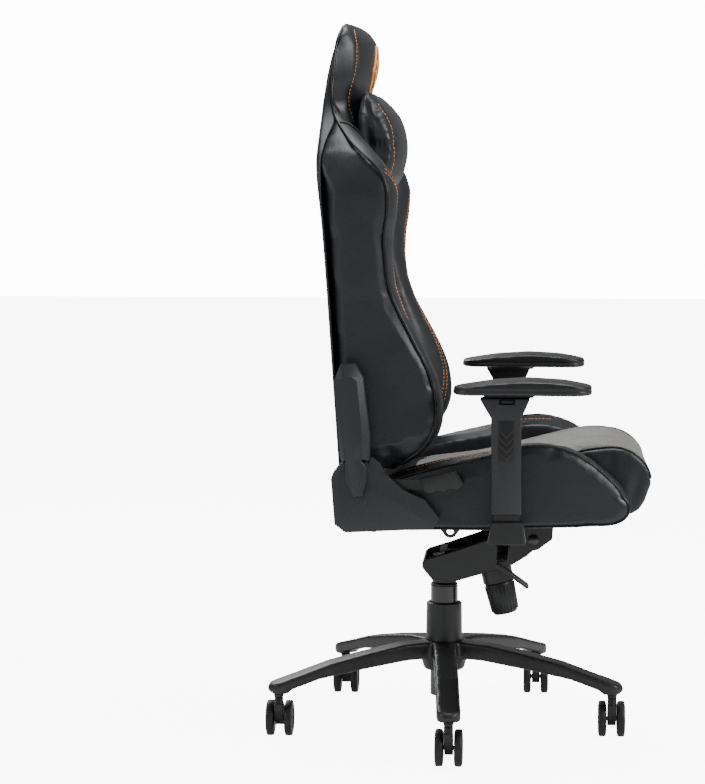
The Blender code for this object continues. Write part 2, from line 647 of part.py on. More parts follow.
# ---------------------------------------------------------------- seat
def make_seat(seat):
    pivot_x, pivot_z = TILT_PIVOT
    half = TOP_PLATE_HALF_WIDTH
    plate_x = (-0.030, pivot_x + 0.038)
    plate = box(plate_x, (-half - 0.012, half + 0.012),
                (SEAT_UNDER - PLATE_THICKNESS, SEAT_UNDER))
    flange = [
        (-0.026, SEAT_UNDER - 0.0010), (-0.026, 0.3790), (-0.004, 0.3770)] + arc(
        (0.013, 0.3760), 0.0135, 200, 340, 6) + [
        (0.030, 0.3770), (0.110, 0.3770), (pivot_x - 0.030, 0.3640)] + arc(
        TILT_PIVOT, 0.020, 215, 320, 5) + [
        (pivot_x + 0.034, 0.3620), (plate_x[1] - 0.001, SEAT_UNDER - 0.0010)]
    flanges = [side_slab(flange, (side * half, side * (half - 0.0035))) for side in (-1, 1)]
    plate = join(plate, *flanges)
    holes = [
        rod((0.013, -0.1, 0.3745), (0.013, 0.1, 0.3745), 0.0060, sides=16),
        rod((pivot_x, -0.1, pivot_z), (pivot_x, 0.1, pivot_z), TILT_BOLT_RADIUS + RUN, sides=20)]
    part(cut(plate, *holes), "mech_top_plate", "black_steel", seat)

    z = SEAT_UNDER + TOUCH + SEAT_TUBE_RADIUS
    y = SEAT_TUBE_Y
    radius = SEAT_TUBE_RADIUS
    rear, front = SEAT_REAR_X, SEAT_FRONT_X
    loop = rounded([
        (rear, -y, 0.0), (front, -y, 0.030), (front, y, 0.030), (rear, y, 0.0)], 4)
    rails = tube([(a, b, z) for a, b in loop], radius)
    wide = BACK_PLATE_Y + PLATE_T + 0.0010
    crosses = [
        rod((rear, -wide + TOUCH, z), (rear, wide - TOUCH, z), radius, sides=12),
        rod((0.015, -y, z), (0.015, y, z), radius, sides=12),
        rod((0.150, -y, z), (0.150, y, z), radius, sides=12)]
    part(join(rails, *crosses), "seat_frame", "black_steel", seat)

    pan_low = z + radius + TOUCH
    pan_high = pan_low + SEAT_PAN_THICKNESS
    part(box((rear + 0.014, front), (-y, y), (pan_low, pan_high)), "seat_pan", "webbing", seat)

    low = pan_high + TOUCH
    cushion = [
        (CUSHION_REAR_X, low, 1), (CUSHION_REAR_X, 0.4660, 1), (-0.040, 0.4800),
        (0.060, 0.4950), (0.150, 0.5160), (0.230, 0.5360), (0.300, 0.5440),
        (0.340, 0.5360), (0.366, 0.5080), (0.3735, 0.4850), (0.366, 0.4640),
        (0.348, 0.4300), (0.325, low, 1)]
    wide = CUSHION_HALF_WIDTH
    part(bevelled(side_slab(cushion, (-wide, wide), smooth=True), 0.008, 2, 50),
         "seat_cushion", "seat_leather", seat)
    bolster = [
        (CUSHION_REAR_X + 0.006, BOLSTER_BOTTOM, 1), (CUSHION_REAR_X, 0.4900, 1),
        (0.000, 0.5200), (0.087, 0.5400), (0.147, 0.5570), (0.190, 0.5570),
        (0.240, 0.5410), (0.290, 0.5030), (0.322, 0.4620), (0.328, 0.4410),
        (0.318, 0.4240), (0.289, 0.4140, 1), (0.050, BOLSTER_BOTTOM, 1)]
    shape = side_slab(bolster, (-BOLSTER_OUTER_Y, -wide - 0.0010), smooth=True)
    pair("seat_bolster", "leather", {"R": seat, "L": seat}, bevelled(shape, 0.014, 2, 50))


# ---------------------------------------------------------------- recliner
def lower_cover_rings():
    """The lower cover's full outline, and the smaller face inside its sloping border."""
    pivot = RECLINE_PIVOT
    full = arc(pivot, LOWER_CROWN_RADIUS, 50, 168, 7) + [
        (-0.1790, 0.4160), (-0.1600, 0.4020), (-0.0090, 0.4100), (0.0010, 0.4280),
        (-0.0240, 0.4600), (-0.0480, 0.4700), (-0.0630, 0.4780), (-0.0840, 0.4970),
        (-0.1010, 0.5110)]
    face = arc(pivot, LOWER_CROWN_RADIUS - 0.0110, 50, 168, 7) + [
        (-0.1665, 0.4270), (-0.1590, 0.4180), (-0.0290, 0.4260), (-0.0275, 0.4275),
        (-0.0375, 0.4440), (-0.0560, 0.4530), (-0.0750, 0.4620), (-0.0945, 0.4790),
        (-0.1100, 0.4970)]
    return full, face


def make_recliner(seat, back, lever):
    pivot_x, pivot_z = RECLINE_PIVOT
    arm_y = (-BACK_PLATE_Y - PLATE_T, -BACK_PLATE_Y)
    low_y = (arm_y[0] - 0.0010 - PLATE_T, arm_y[0] - 0.0010)

    # seat side: plate with a stud that carries the back, and a smaller one for the lever
    plate = side_slab(
        arc(RECLINE_PIVOT, 0.0300, 0, 180, 12)
        + [(pivot_x - 0.030, 0.4250), (pivot_x - 0.018, SEAT_UNDER + 0.0110),
           (-0.015, SEAT_UNDER + 0.0175),
           (-0.015, 0.4400), (-0.060, 0.4560), (pivot_x + 0.030, 0.4800)],
        low_y)
    stud = rod((pivot_x, low_y[1] - 0.001, pivot_z), (pivot_x, -BACK_PLATE_Y, pivot_z),
               PIVOT_STUD_RADIUS, sides=20)
    lever_stud = rod((pivot_x, low_y[0] + 0.001, pivot_z), (pivot_x, low_y[0] - 0.0120, pivot_z),
                     LEVER_STUD_RADIUS, sides=16)
    pair("recline_bracket", "black_steel", {"R": seat, "L": seat}, join(plate, stud, lever_stud))

    # back side: plate that runs up beside the back
    arm = [(pivot_x + 0.0230, pivot_z), (pivot_x + 0.0150, 0.5400), (-0.1300, 0.6700),
           (-0.1660, 0.6700), (-0.1680, 0.5400), (pivot_x - 0.0230, pivot_z)]
    arm = arm + arc(RECLINE_PIVOT, 0.0230, 195, 345, 8)
    hole = rod((pivot_x, -0.3, pivot_z), (pivot_x, -0.2, pivot_z),
               PIVOT_STUD_RADIUS + RUN, sides=20)
    pair("back_hinge_plate", "black_steel", {"R": back, "L": back},
         cut(side_slab(arm, arm_y), hole))

    # lower cover: a moulded shell open towards the seat
    inner_y = low_y[0] - 0.0010
    outer_y = -COVER_FACE_Y
    full, face = lower_cover_rings()
    cover = side_loft([(face, outer_y), (full, outer_y + COVER_BORDER_DEPTH),
                       (full, low_y[1] - 0.0005)])
    shoulder = side_slab(
        [(-0.0930, 0.5060), (-0.1000, 0.5220), (-0.1130, 0.5320), (-0.1165, 0.5320),
         (-0.1187, 0.5240), (-0.1250, 0.5100)], (outer_y + 0.0045, inner_y - 0.0070))
    wall = HINGE_COVER_WALL
    full, face = inset(full, wall), inset(face, wall / 2)
    hollow = side_loft([(face, outer_y + wall), (full, outer_y + COVER_BORDER_DEPTH + wall),
                        (full, low_y[1] + 0.02)])
    lever_way = box((-0.098, 0.02), (inner_y - 0.0065, low_y[1] + 0.02), (0.4600, 0.5400))
    pair("hinge_cover", "covers", {"R": seat, "L": seat},
         join(cut(cover, join(hollow, lever_way)), shoulder))

    # upper cover: a faceted hood over the plate, with a tongue across the lower cover's face
    hood_outer = outer_y - TOUCH - TONGUE_THICKNESS
    hood_inner = arm_y[0] - 0.0010
    foot = LOWER_CROWN_RADIUS + 0.0020
    full = arc(RECLINE_PIVOT, foot, 122, 62, 5) + [
        (-0.1180, 0.5300), (-0.1180, 0.5720), (-0.1300, 0.6700), (-0.1440, 0.6930),
        (-0.1680, 0.6920), (-0.1790, 0.6650), (-0.1690, 0.5350)]
    face = arc(RECLINE_PIVOT, foot, 114, 78, 5) + [
        (-0.1310, 0.5330), (-0.1300, 0.5720), (-0.1395, 0.6640), (-0.1480, 0.6720),
        (-0.1640, 0.6710), (-0.1700, 0.6620), (-0.1620, 0.5380)]
    hood = side_loft([(face, hood_outer), (full, hood_outer + 0.0090), (full, hood_inner)])
    tongue = side_slab([
        (-0.1600, 0.5370), (-0.1590, 0.5200), (-0.1590, 0.4950), (-0.1470, 0.4655),
        (-0.1300, 0.4665), (-0.1235, 0.4920), (-0.1240, 0.5180), (-0.1310, 0.5270),
        (-0.1320, 0.5370)], (hood_outer + 0.0002, hood_outer + TONGUE_THICKNESS))
    tongue = bevelled(tongue, 0.0015, 1, 60)
    pair("back_arm_cover", "covers", {"R": back, "L": back}, join(hood, tongue))

    # recline lever on the right-hand side: steel bar and a finger-shaped grip
    bar_y = (inner_y - 0.0040, inner_y)
    bar = join(
        rod((pivot_x, bar_y[0], pivot_z), (pivot_x, bar_y[1], pivot_z), 0.0120, sides=20),
        side_slab([(pivot_x, 0.4780), (-0.0250, 0.4745), (-0.0250, 0.4925), (pivot_x, 0.4950)],
                  bar_y))
    eye = rod((pivot_x, -0.3, pivot_z), (pivot_x, -0.2, pivot_z), LEVER_STUD_RADIUS + RUN,
              sides=16)
    part(cut(bar, eye), "recline_lever_bar", "bright_steel", lever)
    grip_top = [(-0.0300, 0.4960), (0.0300, 0.5090), (0.0430, 0.4900), (0.0400, 0.4840)]
    waves = []
    for index in range(9):
        share = index / 8
        waves.append((0.0300 - 0.0540 * share,
                      0.4800 - 0.0080 * share - 0.0022 * math.cos(share * 5 * math.pi)))
    grip = side_slab(grip_top + waves, (-COVER_FACE_Y + 0.0040, bar_y[1] + 0.0040))
    pocket = side_slab(
        [(-0.0400, 0.4745 - TOUCH), (-0.0250 + TOUCH, 0.4745 - TOUCH),
         (-0.0250 + TOUCH, 0.4925 + TOUCH), (-0.0400, 0.4925 + TOUCH)],
        (bar_y[0] - TOUCH, bar_y[1] + TOUCH))
    part(cut(bevelled(grip, 0.003, 2, 50), pocket), "recline_lever_grip", "satin_plastic", lever)


# ---------------------------------------------------------------- back
REAR_HEIGHTS = (0.400, 1.040) + tuple(
    HEAD_START + rise for rise in (0.0, 0.040, 0.080, 0.115, 0.150, 0.200))


def rear_curve(height):
    """The rear face's formula: straight with the lean, then forward round the head."""
    lean = BACK_FOOT[0] - (min(height, 1.04) - BACK_FOOT[1]) * math.tan(BACK_LEAN)
    over = max(height - HEAD_START, 0.0)
    return lean + 1.10 * over * over


def rear_line(height):
    """X of the back's rear face, on straight lines between the heights above."""
    for low, high in zip(REAR_HEIGHTS, REAR_HEIGHTS[1:]):
        if height <= high:
            break
    share = (height - low) / (high - low)
    return rear_curve(low) * (1 - share) + rear_curve(high) * share


def rear_points(depth, low, high):
    """The rear line moved forward by a depth, as points (X, Z) from low to high."""
    heights = [low] + [z for z in REAR_HEIGHTS if low < z < high] + [high]
    return [(rear_line(z) + depth, z) for z in heights]


def back_width():
    """Half of the back's front outline, from the foot up: (Y, Z)."""
    wide, shoulder, head = BACK_HALF_WIDTH, SHOULDER_HALF_WIDTH, HEAD_HALF_WIDTH
    return [
        (wide - 0.022, BACK_BOTTOM, 1), (wide, 0.560, 1), (wide, 0.700, 1), (wide, 0.800),
        (shoulder - 0.003, 0.920), (shoulder, 1.000), (shoulder - 0.016, 1.050),
        (head + 0.040, 1.100), (head + 0.004, HEAD_START + 0.050), (head, HEAD_START + 0.100),
        (head - 0.014, HEAD_START + 0.150), (head - 0.050, BACK_TOP)]


def back_outline():
    half = back_width()
    return [(-p[0], *p[1:]) for p in half] + list(reversed(half))


def make_back(back, pillow):
    room_front = BACK_COVER_T + BACK_TUBE_ROOM
    skin = rear_points(0.0, BACK_BOTTOM, BACK_TOP - 0.004)
    skin_front = list(reversed(rear_points(BACK_COVER_T, BACK_BOTTOM, BACK_TOP - 0.004)))
    cover = common(side_slab(skin + skin_front, (-0.3, 0.3)),
                   front_slab(back_outline(), (-0.4, 0.1), smooth=True))
    part(cover, "back_cover", "leather", back)

    # steel frame between the cover and the foam
    depth = BACK_COVER_T + BACK_TUBE_ROOM / 2
    side, head = BACK_TUBE_Y, HEAD_TUBE_Y
    route = [(side, 0.530), (side, 0.960), (side - 0.012, 1.010), (head + 0.016, 1.090),
             (head, HEAD_START + 0.030), (head, HEAD_START + 0.090),
             (head - 0.018, HEAD_START + 0.115)]
    route = route + [(-y, z) for y, z in reversed(route)]
    frame = tube([(rear_line(z) + depth, y, z) for y, z in route], BACK_TUBE_RADIUS)
    bars = []
    for height, reach in ((0.560, BACK_PLATE_Y - TOUCH), (0.800, side), (1.000, side - 0.01)):
        x = rear_line(height) + depth
        bars.append(rod((x, -reach, height), (x, reach, height), BACK_TUBE_RADIUS * 0.9, sides=12))
    part(join(frame, *bars), "back_frame", "black_steel", back)

    front = [
        (-0.104, BACK_BOTTOM, 1), (-0.074, 0.560), (-0.068, 0.640), (-0.090, 0.740),
        (-0.121, 0.850), (-0.139, 0.950), (-0.151, 1.050), (-0.1545, HEAD_START + 0.010),
        (-0.145, HEAD_START + 0.060), (-0.135, HEAD_START + 0.090),
        (-0.132, HEAD_START + 0.120), (-0.141, HEAD_START + 0.152), (-0.158, BACK_TOP, 1)]
    behind_top = BACK_COVER_T + SOFT_GAP
    rear = [(rear_line(z) + behind_top, z, 1) for z in (BACK_TOP, BACK_TOP - 0.027)]
    rear += [(x, z, 1) for x, z in reversed(
        rear_points(room_front, BACK_BOTTOM, BACK_TOP - 0.042))]
    wide = BACK_CENTRE_HALF_WIDTH
    centre = common(
        side_slab(front + rear, (-wide, wide), smooth=True),
        front_slab(back_outline(), (-0.4, 0.1), smooth=True))
    part(centre, "back_cushion", "leather", back)

    wing_front = [
        (-0.095, BACK_BOTTOM, 1), (-0.030, 0.528), (0.000, 0.566), (0.007, 0.615),
        (-0.008, 0.675), (-0.042, 0.742), (-0.074, 0.820), (-0.082, 0.905),
        (-0.074, 0.985), (-0.100, 1.038), (-0.140, 1.080), (-0.168, 1.125, 1)]
    wing_rear = [(x, z, 1) for x, z in reversed(
        rear_points(room_front, BACK_BOTTOM, 1.125))]
    outline = back_outline()
    wing = common(
        side_slab(wing_front + wing_rear, (-0.3, -wide - 0.0010), smooth=True),
        front_slab(outline, (-0.4, 0.1), smooth=True))
    pair("back_wing", "leather", {"R": back, "L": back}, wing)

    # a wedge cushion held on the head rest by magnets
    stand = SOFT_GAP
    wedge = [
        (-0.1535 + stand, 1.100, 1), (-0.1430 + stand, 0.985, 1), (-0.0960, 0.990),
        (-0.0760, 1.030), (-0.0730, 1.070), (-0.0890, 1.114), (-0.1200, 1.146),
        (-0.1370, 1.1620, 1), (-0.1430 + stand, 1.1600, 1)]
    wide = PILLOW_HALF_WIDTH
    part(bevelled(side_slab(wedge, (-wide, wide), smooth=True), 0.006, 2, 60),
         "head_pillow", "leather", pillow)


# ---------------------------------------------------------------- armrests
def make_armrest(name, side, seat, sleeve, swivel, slide, button):
    """Built on the right, turned to the other side by its sign."""

    def place(shape, piece, slot, joint):
        if side > 0:
            other = mirrored(shape)
            bpy.data.objects.remove(shape, do_unlink=True)
            shape = other
        part(shape, f"{piece}_{name}", slot, joint)

    post_x, post_y = POST_SIZE[0] / 2, POST_SIZE[1] / 2
    plate_low = SEAT_UNDER - 0.0075
    y = -ARM_Y
    post = join(
        box((ARM_X - post_x, ARM_X + post_x), (y - post_y, y + post_y), (plate_low, 0.5550)),
        box((ARM_X - post_x - 0.003, ARM_X + post_x + 0.003), (y, -SEAT_TUBE_Y + 0.02),
            (plate_low, plate_low + ARM_PLATE_T)))
    place(post, "arm_post", "black_steel", seat)

    # flared foot trim, open above for the post and inboard for its plate
    flare = side_slab([
        (ARM_X - 0.0310, TRIM_BOTTOM), (ARM_X + 0.0320, TRIM_BOTTOM),
        (ARM_X + 0.0330, TRIM_BOTTOM + 0.003), (ARM_X + 0.0275, TRIM_TOP),
        (ARM_X - 0.0245, TRIM_TOP), (ARM_X - 0.0320, TRIM_BOTTOM + 0.003)],
        (y - 0.0180, y + 0.0160))
    flare = bevelled(flare, 0.0020, 1, 50)
    shaft = box((ARM_X - post_x - TOUCH, ARM_X + post_x + TOUCH),
                (y - post_y - TOUCH, y + post_y + TOUCH), (plate_low - TOUCH, 0.60))
    plate_way = box((ARM_X - post_x - 0.003 - TOUCH, ARM_X + post_x + 0.003 + TOUCH),
                    (y - TOUCH, y + 0.05), (plate_low - TOUCH, plate_low + ARM_PLATE_T + TOUCH))
    place(cut(flare, shaft, plate_way), "arm_foot_trim", "satin_plastic", seat)

    # sliding sleeve with its flared head
    sleeve_x, sleeve_y = SLEEVE_SIZE[0] / 2, SLEEVE_SIZE[1] / 2
    body = side_slab([
        (ARM_X - sleeve_x + 0.002, SLEEVE_BOTTOM), (ARM_X + sleeve_x - 0.002, SLEEVE_BOTTOM),
        (ARM_X + sleeve_x - 0.003, SLEEVE_NECK), (ARM_X + 0.0390, SLEEVE_TOP),
        (ARM_X - 0.0470, SLEEVE_TOP), (ARM_X - sleeve_x, SLEEVE_NECK)],
        (y - sleeve_y, y + sleeve_y))
    body = bevelled(body, 0.0030, 2, 50)
    shaft = box((ARM_X - post_x - RUN, ARM_X + post_x + RUN),
                (y - post_y - RUN, y + post_y + RUN), (SLEEVE_BOTTOM - 0.01, 0.5750))
    mouth = box((ARM_X - 0.0130, ARM_X + 0.0130), (y - sleeve_y - 0.01, y - sleeve_y + 0.0130),
                (SLEEVE_TOP - 0.0105, SLEEVE_TOP - 0.0020))
    place(cut(body, shaft, mouth), "arm_sleeve", "arm_plastic", sleeve)
    push = box((ARM_X - BUTTON_LENGTH / 2, ARM_X + BUTTON_LENGTH / 2),
               (y - sleeve_y + 0.0040, y - sleeve_y + 0.0090),
               (SLEEVE_TOP - 0.0098, SLEEVE_TOP - 0.0027))
    place(bevelled(push, 0.0010, 1), "arm_button", "satin_plastic", button)

    low = SLEEVE_TOP + TOUCH
    plate = plan_slab(rounded([
        (ARM_X - 0.0400, -PAD_Y - 0.0300, 0.008), (ARM_X + 0.0450, -PAD_Y - 0.0300, 0.008),
        (ARM_X + 0.0450, -PAD_Y + 0.0300, 0.008), (ARM_X - 0.0400, -PAD_Y + 0.0300, 0.008)]),
        (low, low + SWIVEL_PLATE_T - 0.0003))
    place(plate, "arm_swivel_plate", "black_steel", swivel)

    length, width = PAD_LENGTH / 2, PAD_WIDTH / 2
    corner = 0.0300
    plan = plan_slab(rounded([
        (PAD_X - length, -PAD_Y - width, corner), (PAD_X + length, -PAD_Y - width, corner),
        (PAD_X + length, -PAD_Y + width, corner), (PAD_X - length, -PAD_Y + width, corner)], 5),
        (PAD_BOTTOM, PAD_TOP + 0.02))
    crown = side_slab([
        (PAD_X - length - 0.01, PAD_BOTTOM - 0.001), (PAD_X - length + 0.004, PAD_BOTTOM - 0.001),
        (PAD_X + length - 0.004, PAD_BOTTOM - 0.001), (PAD_X + length + 0.01, PAD_BOTTOM - 0.001),
        (PAD_X + length + 0.01, PAD_TOP - 0.0120), (PAD_X + 0.0700, PAD_TOP - 0.0030),
        (PAD_X + 0.0100, PAD_TOP), (PAD_X - 0.0500, PAD_TOP - 0.0040),
        (PAD_X - length - 0.01, PAD_TOP - 0.0150)], (-PAD_Y - 0.06, -PAD_Y + 0.06))
    place(bevelled(common(plan, crown), 0.006, 2, 40), "arm_pad", "pad_foam", slide)


# ---------------------------------------------------------------- the chair
def make_chair():
    column = add_empty("column_axis", (0, 0, 0))
    column.location.x = COLUMN_X
    for index in range(CASTER_COUNT):
        x, y, _ = caster_place(index)
        swivel = add_empty(f"caster_swivel_{index + 1}", (x, y, STEM_TOP), column)
        roll = add_empty(f"caster_axle_{index + 1}", (x, y + CASTER_TRAIL, WHEEL_RADIUS), swivel)
        make_caster(index, swivel, roll)
    make_base(column)

    rod_body = add_empty("seat_swivel_axis", (0, 0, OUTER_TUBE_BOTTOM), column)
    lift = add_empty("seat_lift_axis", (0, 0, SOCKET_BOTTOM), rod_body)
    make_column(column, rod_body, lift)

    knob = add_empty("knob_axis", (KNOB_AXIS_FOOT[0], 0, KNOB_AXIS_FOOT[1]), lift)
    lever_turn = add_empty("lever_hinge", (LEVER_X, LEVER_PIVOT_Y, LEVER_Z), lift)
    lever_slide = add_empty("lever_slide", (LEVER_X, -LEVER_REACH, LEVER_Z), lever_turn)
    pin = add_empty("release_pin_axis", (0, 0, SOCKET_TOP), lift)
    make_mechanism(lift, knob, lever_turn, lever_slide, pin)

    seat = add_empty("tilt_axis", (TILT_PIVOT[0], 0, TILT_PIVOT[1]), lift)
    make_seat(seat)
    back = add_empty("recline_axis", (RECLINE_PIVOT[0], 0, RECLINE_PIVOT[1]), seat)
    lever = add_empty("recline_lever_axis", (RECLINE_PIVOT[0], -COVER_FACE_Y, RECLINE_PIVOT[1]),
                      seat)
    pillow = add_empty("pillow_axis", (rear_line(1.07), 0, 1.07), back)
    make_recliner(seat, back, lever)
    make_back(back, pillow)

    for name, side in SIDES.items():
        y = side * ARM_Y
        sleeve = add_empty(f"arm_lift_axis_{name}", (ARM_X, y, SLEEVE_BOTTOM), seat)
        swivel = add_empty(f"arm_swivel_axis_{name}", (ARM_X, y, SLEEVE_TOP), sleeve)
        slide = add_empty(f"arm_slide_axis_{name}", (PAD_X, side * PAD_Y, PAD_BOTTOM), swivel)
        button = add_empty(f"arm_button_axis_{name}", (ARM_X, y, SLEEVE_TOP - 0.006), sleeve)
        make_armrest(name, side, seat, sleeve, swivel, slide, button)


clear_scene()
PARTS = collection("Gaming chair")
PLACES = {}
MATERIALS = {
    "cast_metal": material("Painted cast metal", (0.022, 0.023, 0.025), 0.40, 0.3),
    "moulded_nylon": material("Moulded nylon", (0.020, 0.020, 0.021), 0.50),
    "tread": material("Caster tread", (0.018, 0.018, 0.018), 0.60),
    "column_paint": material("Painted steel tube", (0.020, 0.020, 0.021), 0.35, 0.3),
    "satin_plastic": material("Satin plastic", (0.022, 0.022, 0.023), 0.45),
    "arm_plastic": material("Armrest plastic", (0.026, 0.026, 0.028), 0.45),
    "covers": material("Textured cover plastic", (0.030, 0.031, 0.033), 0.55),
    "bright_steel": material("Bright steel", (0.560, 0.560, 0.570), 0.28, 1.0),
    "black_steel": material("Black coated steel", (0.018, 0.018, 0.019), 0.45, 0.4),
    "webbing": material("Seat webbing", (0.060, 0.055, 0.050), 0.85),
    "seat_leather": material("Grey seat leather", (0.130, 0.128, 0.118), 0.50),
    "leather": material("Black leather", (0.030, 0.032, 0.035), 0.42),
    "pad_foam": material("Soft pad foam", (0.020, 0.020, 0.020), 0.55),
}
make_chair()
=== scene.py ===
"""Looks of the gaming chair: upholstery, plastics, painted metal and the studio round it.

Everything is in the CAD frame, in metres. The sitter faces +X; names ending in _R are on the
sitter's right (-Y). Routes are written from the gas column's axis and placed by place().
"""
import math

import bmesh
import bpy
from bpy.props import FloatProperty, IntProperty, PointerProperty, StringProperty
from mathutils import Matrix, Vector
from mathutils.bvhtree import BVHTree
from mathutils.kdtree import KDTree


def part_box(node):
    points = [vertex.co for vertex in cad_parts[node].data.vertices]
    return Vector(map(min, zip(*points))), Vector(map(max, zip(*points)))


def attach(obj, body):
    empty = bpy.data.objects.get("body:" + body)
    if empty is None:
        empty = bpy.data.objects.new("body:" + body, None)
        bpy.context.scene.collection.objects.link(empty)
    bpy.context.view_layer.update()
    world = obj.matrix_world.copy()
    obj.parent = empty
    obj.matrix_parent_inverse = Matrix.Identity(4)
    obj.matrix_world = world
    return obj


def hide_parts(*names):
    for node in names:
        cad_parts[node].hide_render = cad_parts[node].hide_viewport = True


bl_info = {
    "name": "Gaming chair looks",
    "version": (1, 0, 0),
    "blender": (4, 5, 0),
    "location": "3D View > Sidebar > Chair",
    "description": "Upholsters and finishes a gaming chair on its CAD frame",
    "category": "Object",
}

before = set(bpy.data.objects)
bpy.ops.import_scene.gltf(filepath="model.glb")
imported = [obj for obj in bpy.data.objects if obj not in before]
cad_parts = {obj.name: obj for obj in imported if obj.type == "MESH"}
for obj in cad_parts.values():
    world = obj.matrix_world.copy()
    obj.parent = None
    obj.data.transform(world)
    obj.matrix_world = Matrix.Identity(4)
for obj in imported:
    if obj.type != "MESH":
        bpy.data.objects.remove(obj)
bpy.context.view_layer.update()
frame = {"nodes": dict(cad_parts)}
AXIS_X = (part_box("gas_cylinder")[0][0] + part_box("gas_cylinder")[1][0]) / 2
SIDES = (("R", -1.0), ("L", 1.0))


# ---------------------------------------------------------------- sizes and colours
class ChairSizes(bpy.types.PropertyGroup):
    piping: FloatProperty(
        name="Piping radius", description="Radius of the cord sewn into the seams",
        default=0.0022, unit="LENGTH")
    stitch: FloatProperty(
        name="Stitch length", description="Length of one visible stitch",
        default=0.0044, unit="LENGTH")
    stitch_gap: FloatProperty(
        name="Stitch gap", description="Space between two stitches",
        default=0.0018, unit="LENGTH")
    thread: FloatProperty(
        name="Thread radius", description="Radius of the sewing thread",
        default=0.0009, unit="LENGTH")
    voxel: FloatProperty(
        name="Foam voxel", description="Remesh size of the upholstered pieces",
        default=0.0055, unit="LENGTH")
    pressure: FloatProperty(
        name="Foam pressure", description="Pressure that swells the covers over the foam",
        default=4.0)
    frames: IntProperty(
        name="Cloth frames", description="Steps of the cloth simulation", default=20)


class ChairColours(bpy.types.PropertyGroup):
    leather: StringProperty(
        name="Leather", description="Black artificial leather, sRGB hex", default="1b1d20")
    panel: StringProperty(
        name="Seat panel", description="Grey perforated seat leather, sRGB hex",
        default="63625e")
    thread: StringProperty(
        name="Thread", description="Orange sewing thread, sRGB hex", default="d98a4a")
    motif: StringProperty(
        name="Motif", description="Embroidery thread, sRGB hex", default="f08a24")
    plastic: StringProperty(
        name="Plastic", description="Textured black plastic, sRGB hex", default="1c1d1f")
    paint: StringProperty(
        name="Paint", description="Black paint on the cast base, sRGB hex", default="121314")


class ChairStage(bpy.types.PropertyGroup):
    lens: FloatProperty(
        name="Lens", description="Focal length on a 36 mm tall sensor", default=107.6)
    distance: FloatProperty(
        name="Distance", description="Camera distance from the chair's middle plane",
        default=4.24765, unit="LENGTH")
    height: FloatProperty(
        name="Height", description="Camera height above the floor",
        default=1.02956, unit="LENGTH")
    yaw: FloatProperty(
        name="Yaw", description="Camera turn away from straight across the chair",
        default=math.radians(4.339), subtype="ANGLE")
    pitch: FloatProperty(
        name="Pitch", description="Camera tilt below the horizon",
        default=math.radians(5.529), subtype="ANGLE")
    ambient: FloatProperty(
        name="Ambient", description="Strength of the even light from all round", default=0.34)
    backdrop: FloatProperty(
        name="Backdrop", description="Brightness of the white backdrop", default=14.0)


def sizes():
    return bpy.context.scene.chair_sizes


def colours():
    return bpy.context.scene.chair_colours


def linear(code, alpha=1.0):
    """An sRGB hex colour as linear RGBA."""
    made = []
    for start in (0, 2, 4):
        value = int(code[start:start + 2], 16) / 255
        made.append(value / 12.92 if value <= 0.04045 else ((value + 0.055) / 1.055) ** 2.4)
    return (*made, alpha)


# ---------------------------------------------------------------- materials
def add(tree, kind, inputs=None, **settings):
    """Add a shader node with its own settings, and values or links for its inputs."""
    made = tree.nodes.new(kind)
    for key, value in settings.items():
        setattr(made, key, value)
    for key, value in (inputs or {}).items():
        if isinstance(value, bpy.types.NodeSocket):
            tree.links.new(value, made.inputs[key])
        else:
            made.inputs[key].default_value = value
    return made


def new_material(name):
    made = bpy.data.materials.new(name)
    made.use_nodes = True
    return made, made.node_tree, made.node_tree.nodes["Principled BSDF"]


def connect(tree, shader, colour=None, roughness=None, normal=None):
    for key, socket in (("Base Color", colour), ("Roughness", roughness), ("Normal", normal)):
        if socket:
            tree.links.new(socket, shader.inputs[key])


def two_tone(tree, factor, dark, light, low=0.35, high=0.65):
    ramp = add(tree, "ShaderNodeValToRGB", {"Fac": factor})
    ramp.color_ramp.elements[0].position = low
    ramp.color_ramp.elements[0].color = dark
    ramp.color_ramp.elements[1].position = high
    ramp.color_ramp.elements[1].color = light
    return ramp.outputs["Color"]


def shade(code, factor):
    """A hex colour made lighter or darker, as linear RGBA."""
    return tuple(min(1.0, c * factor) for c in linear(code)[:3]) + (1.0,)


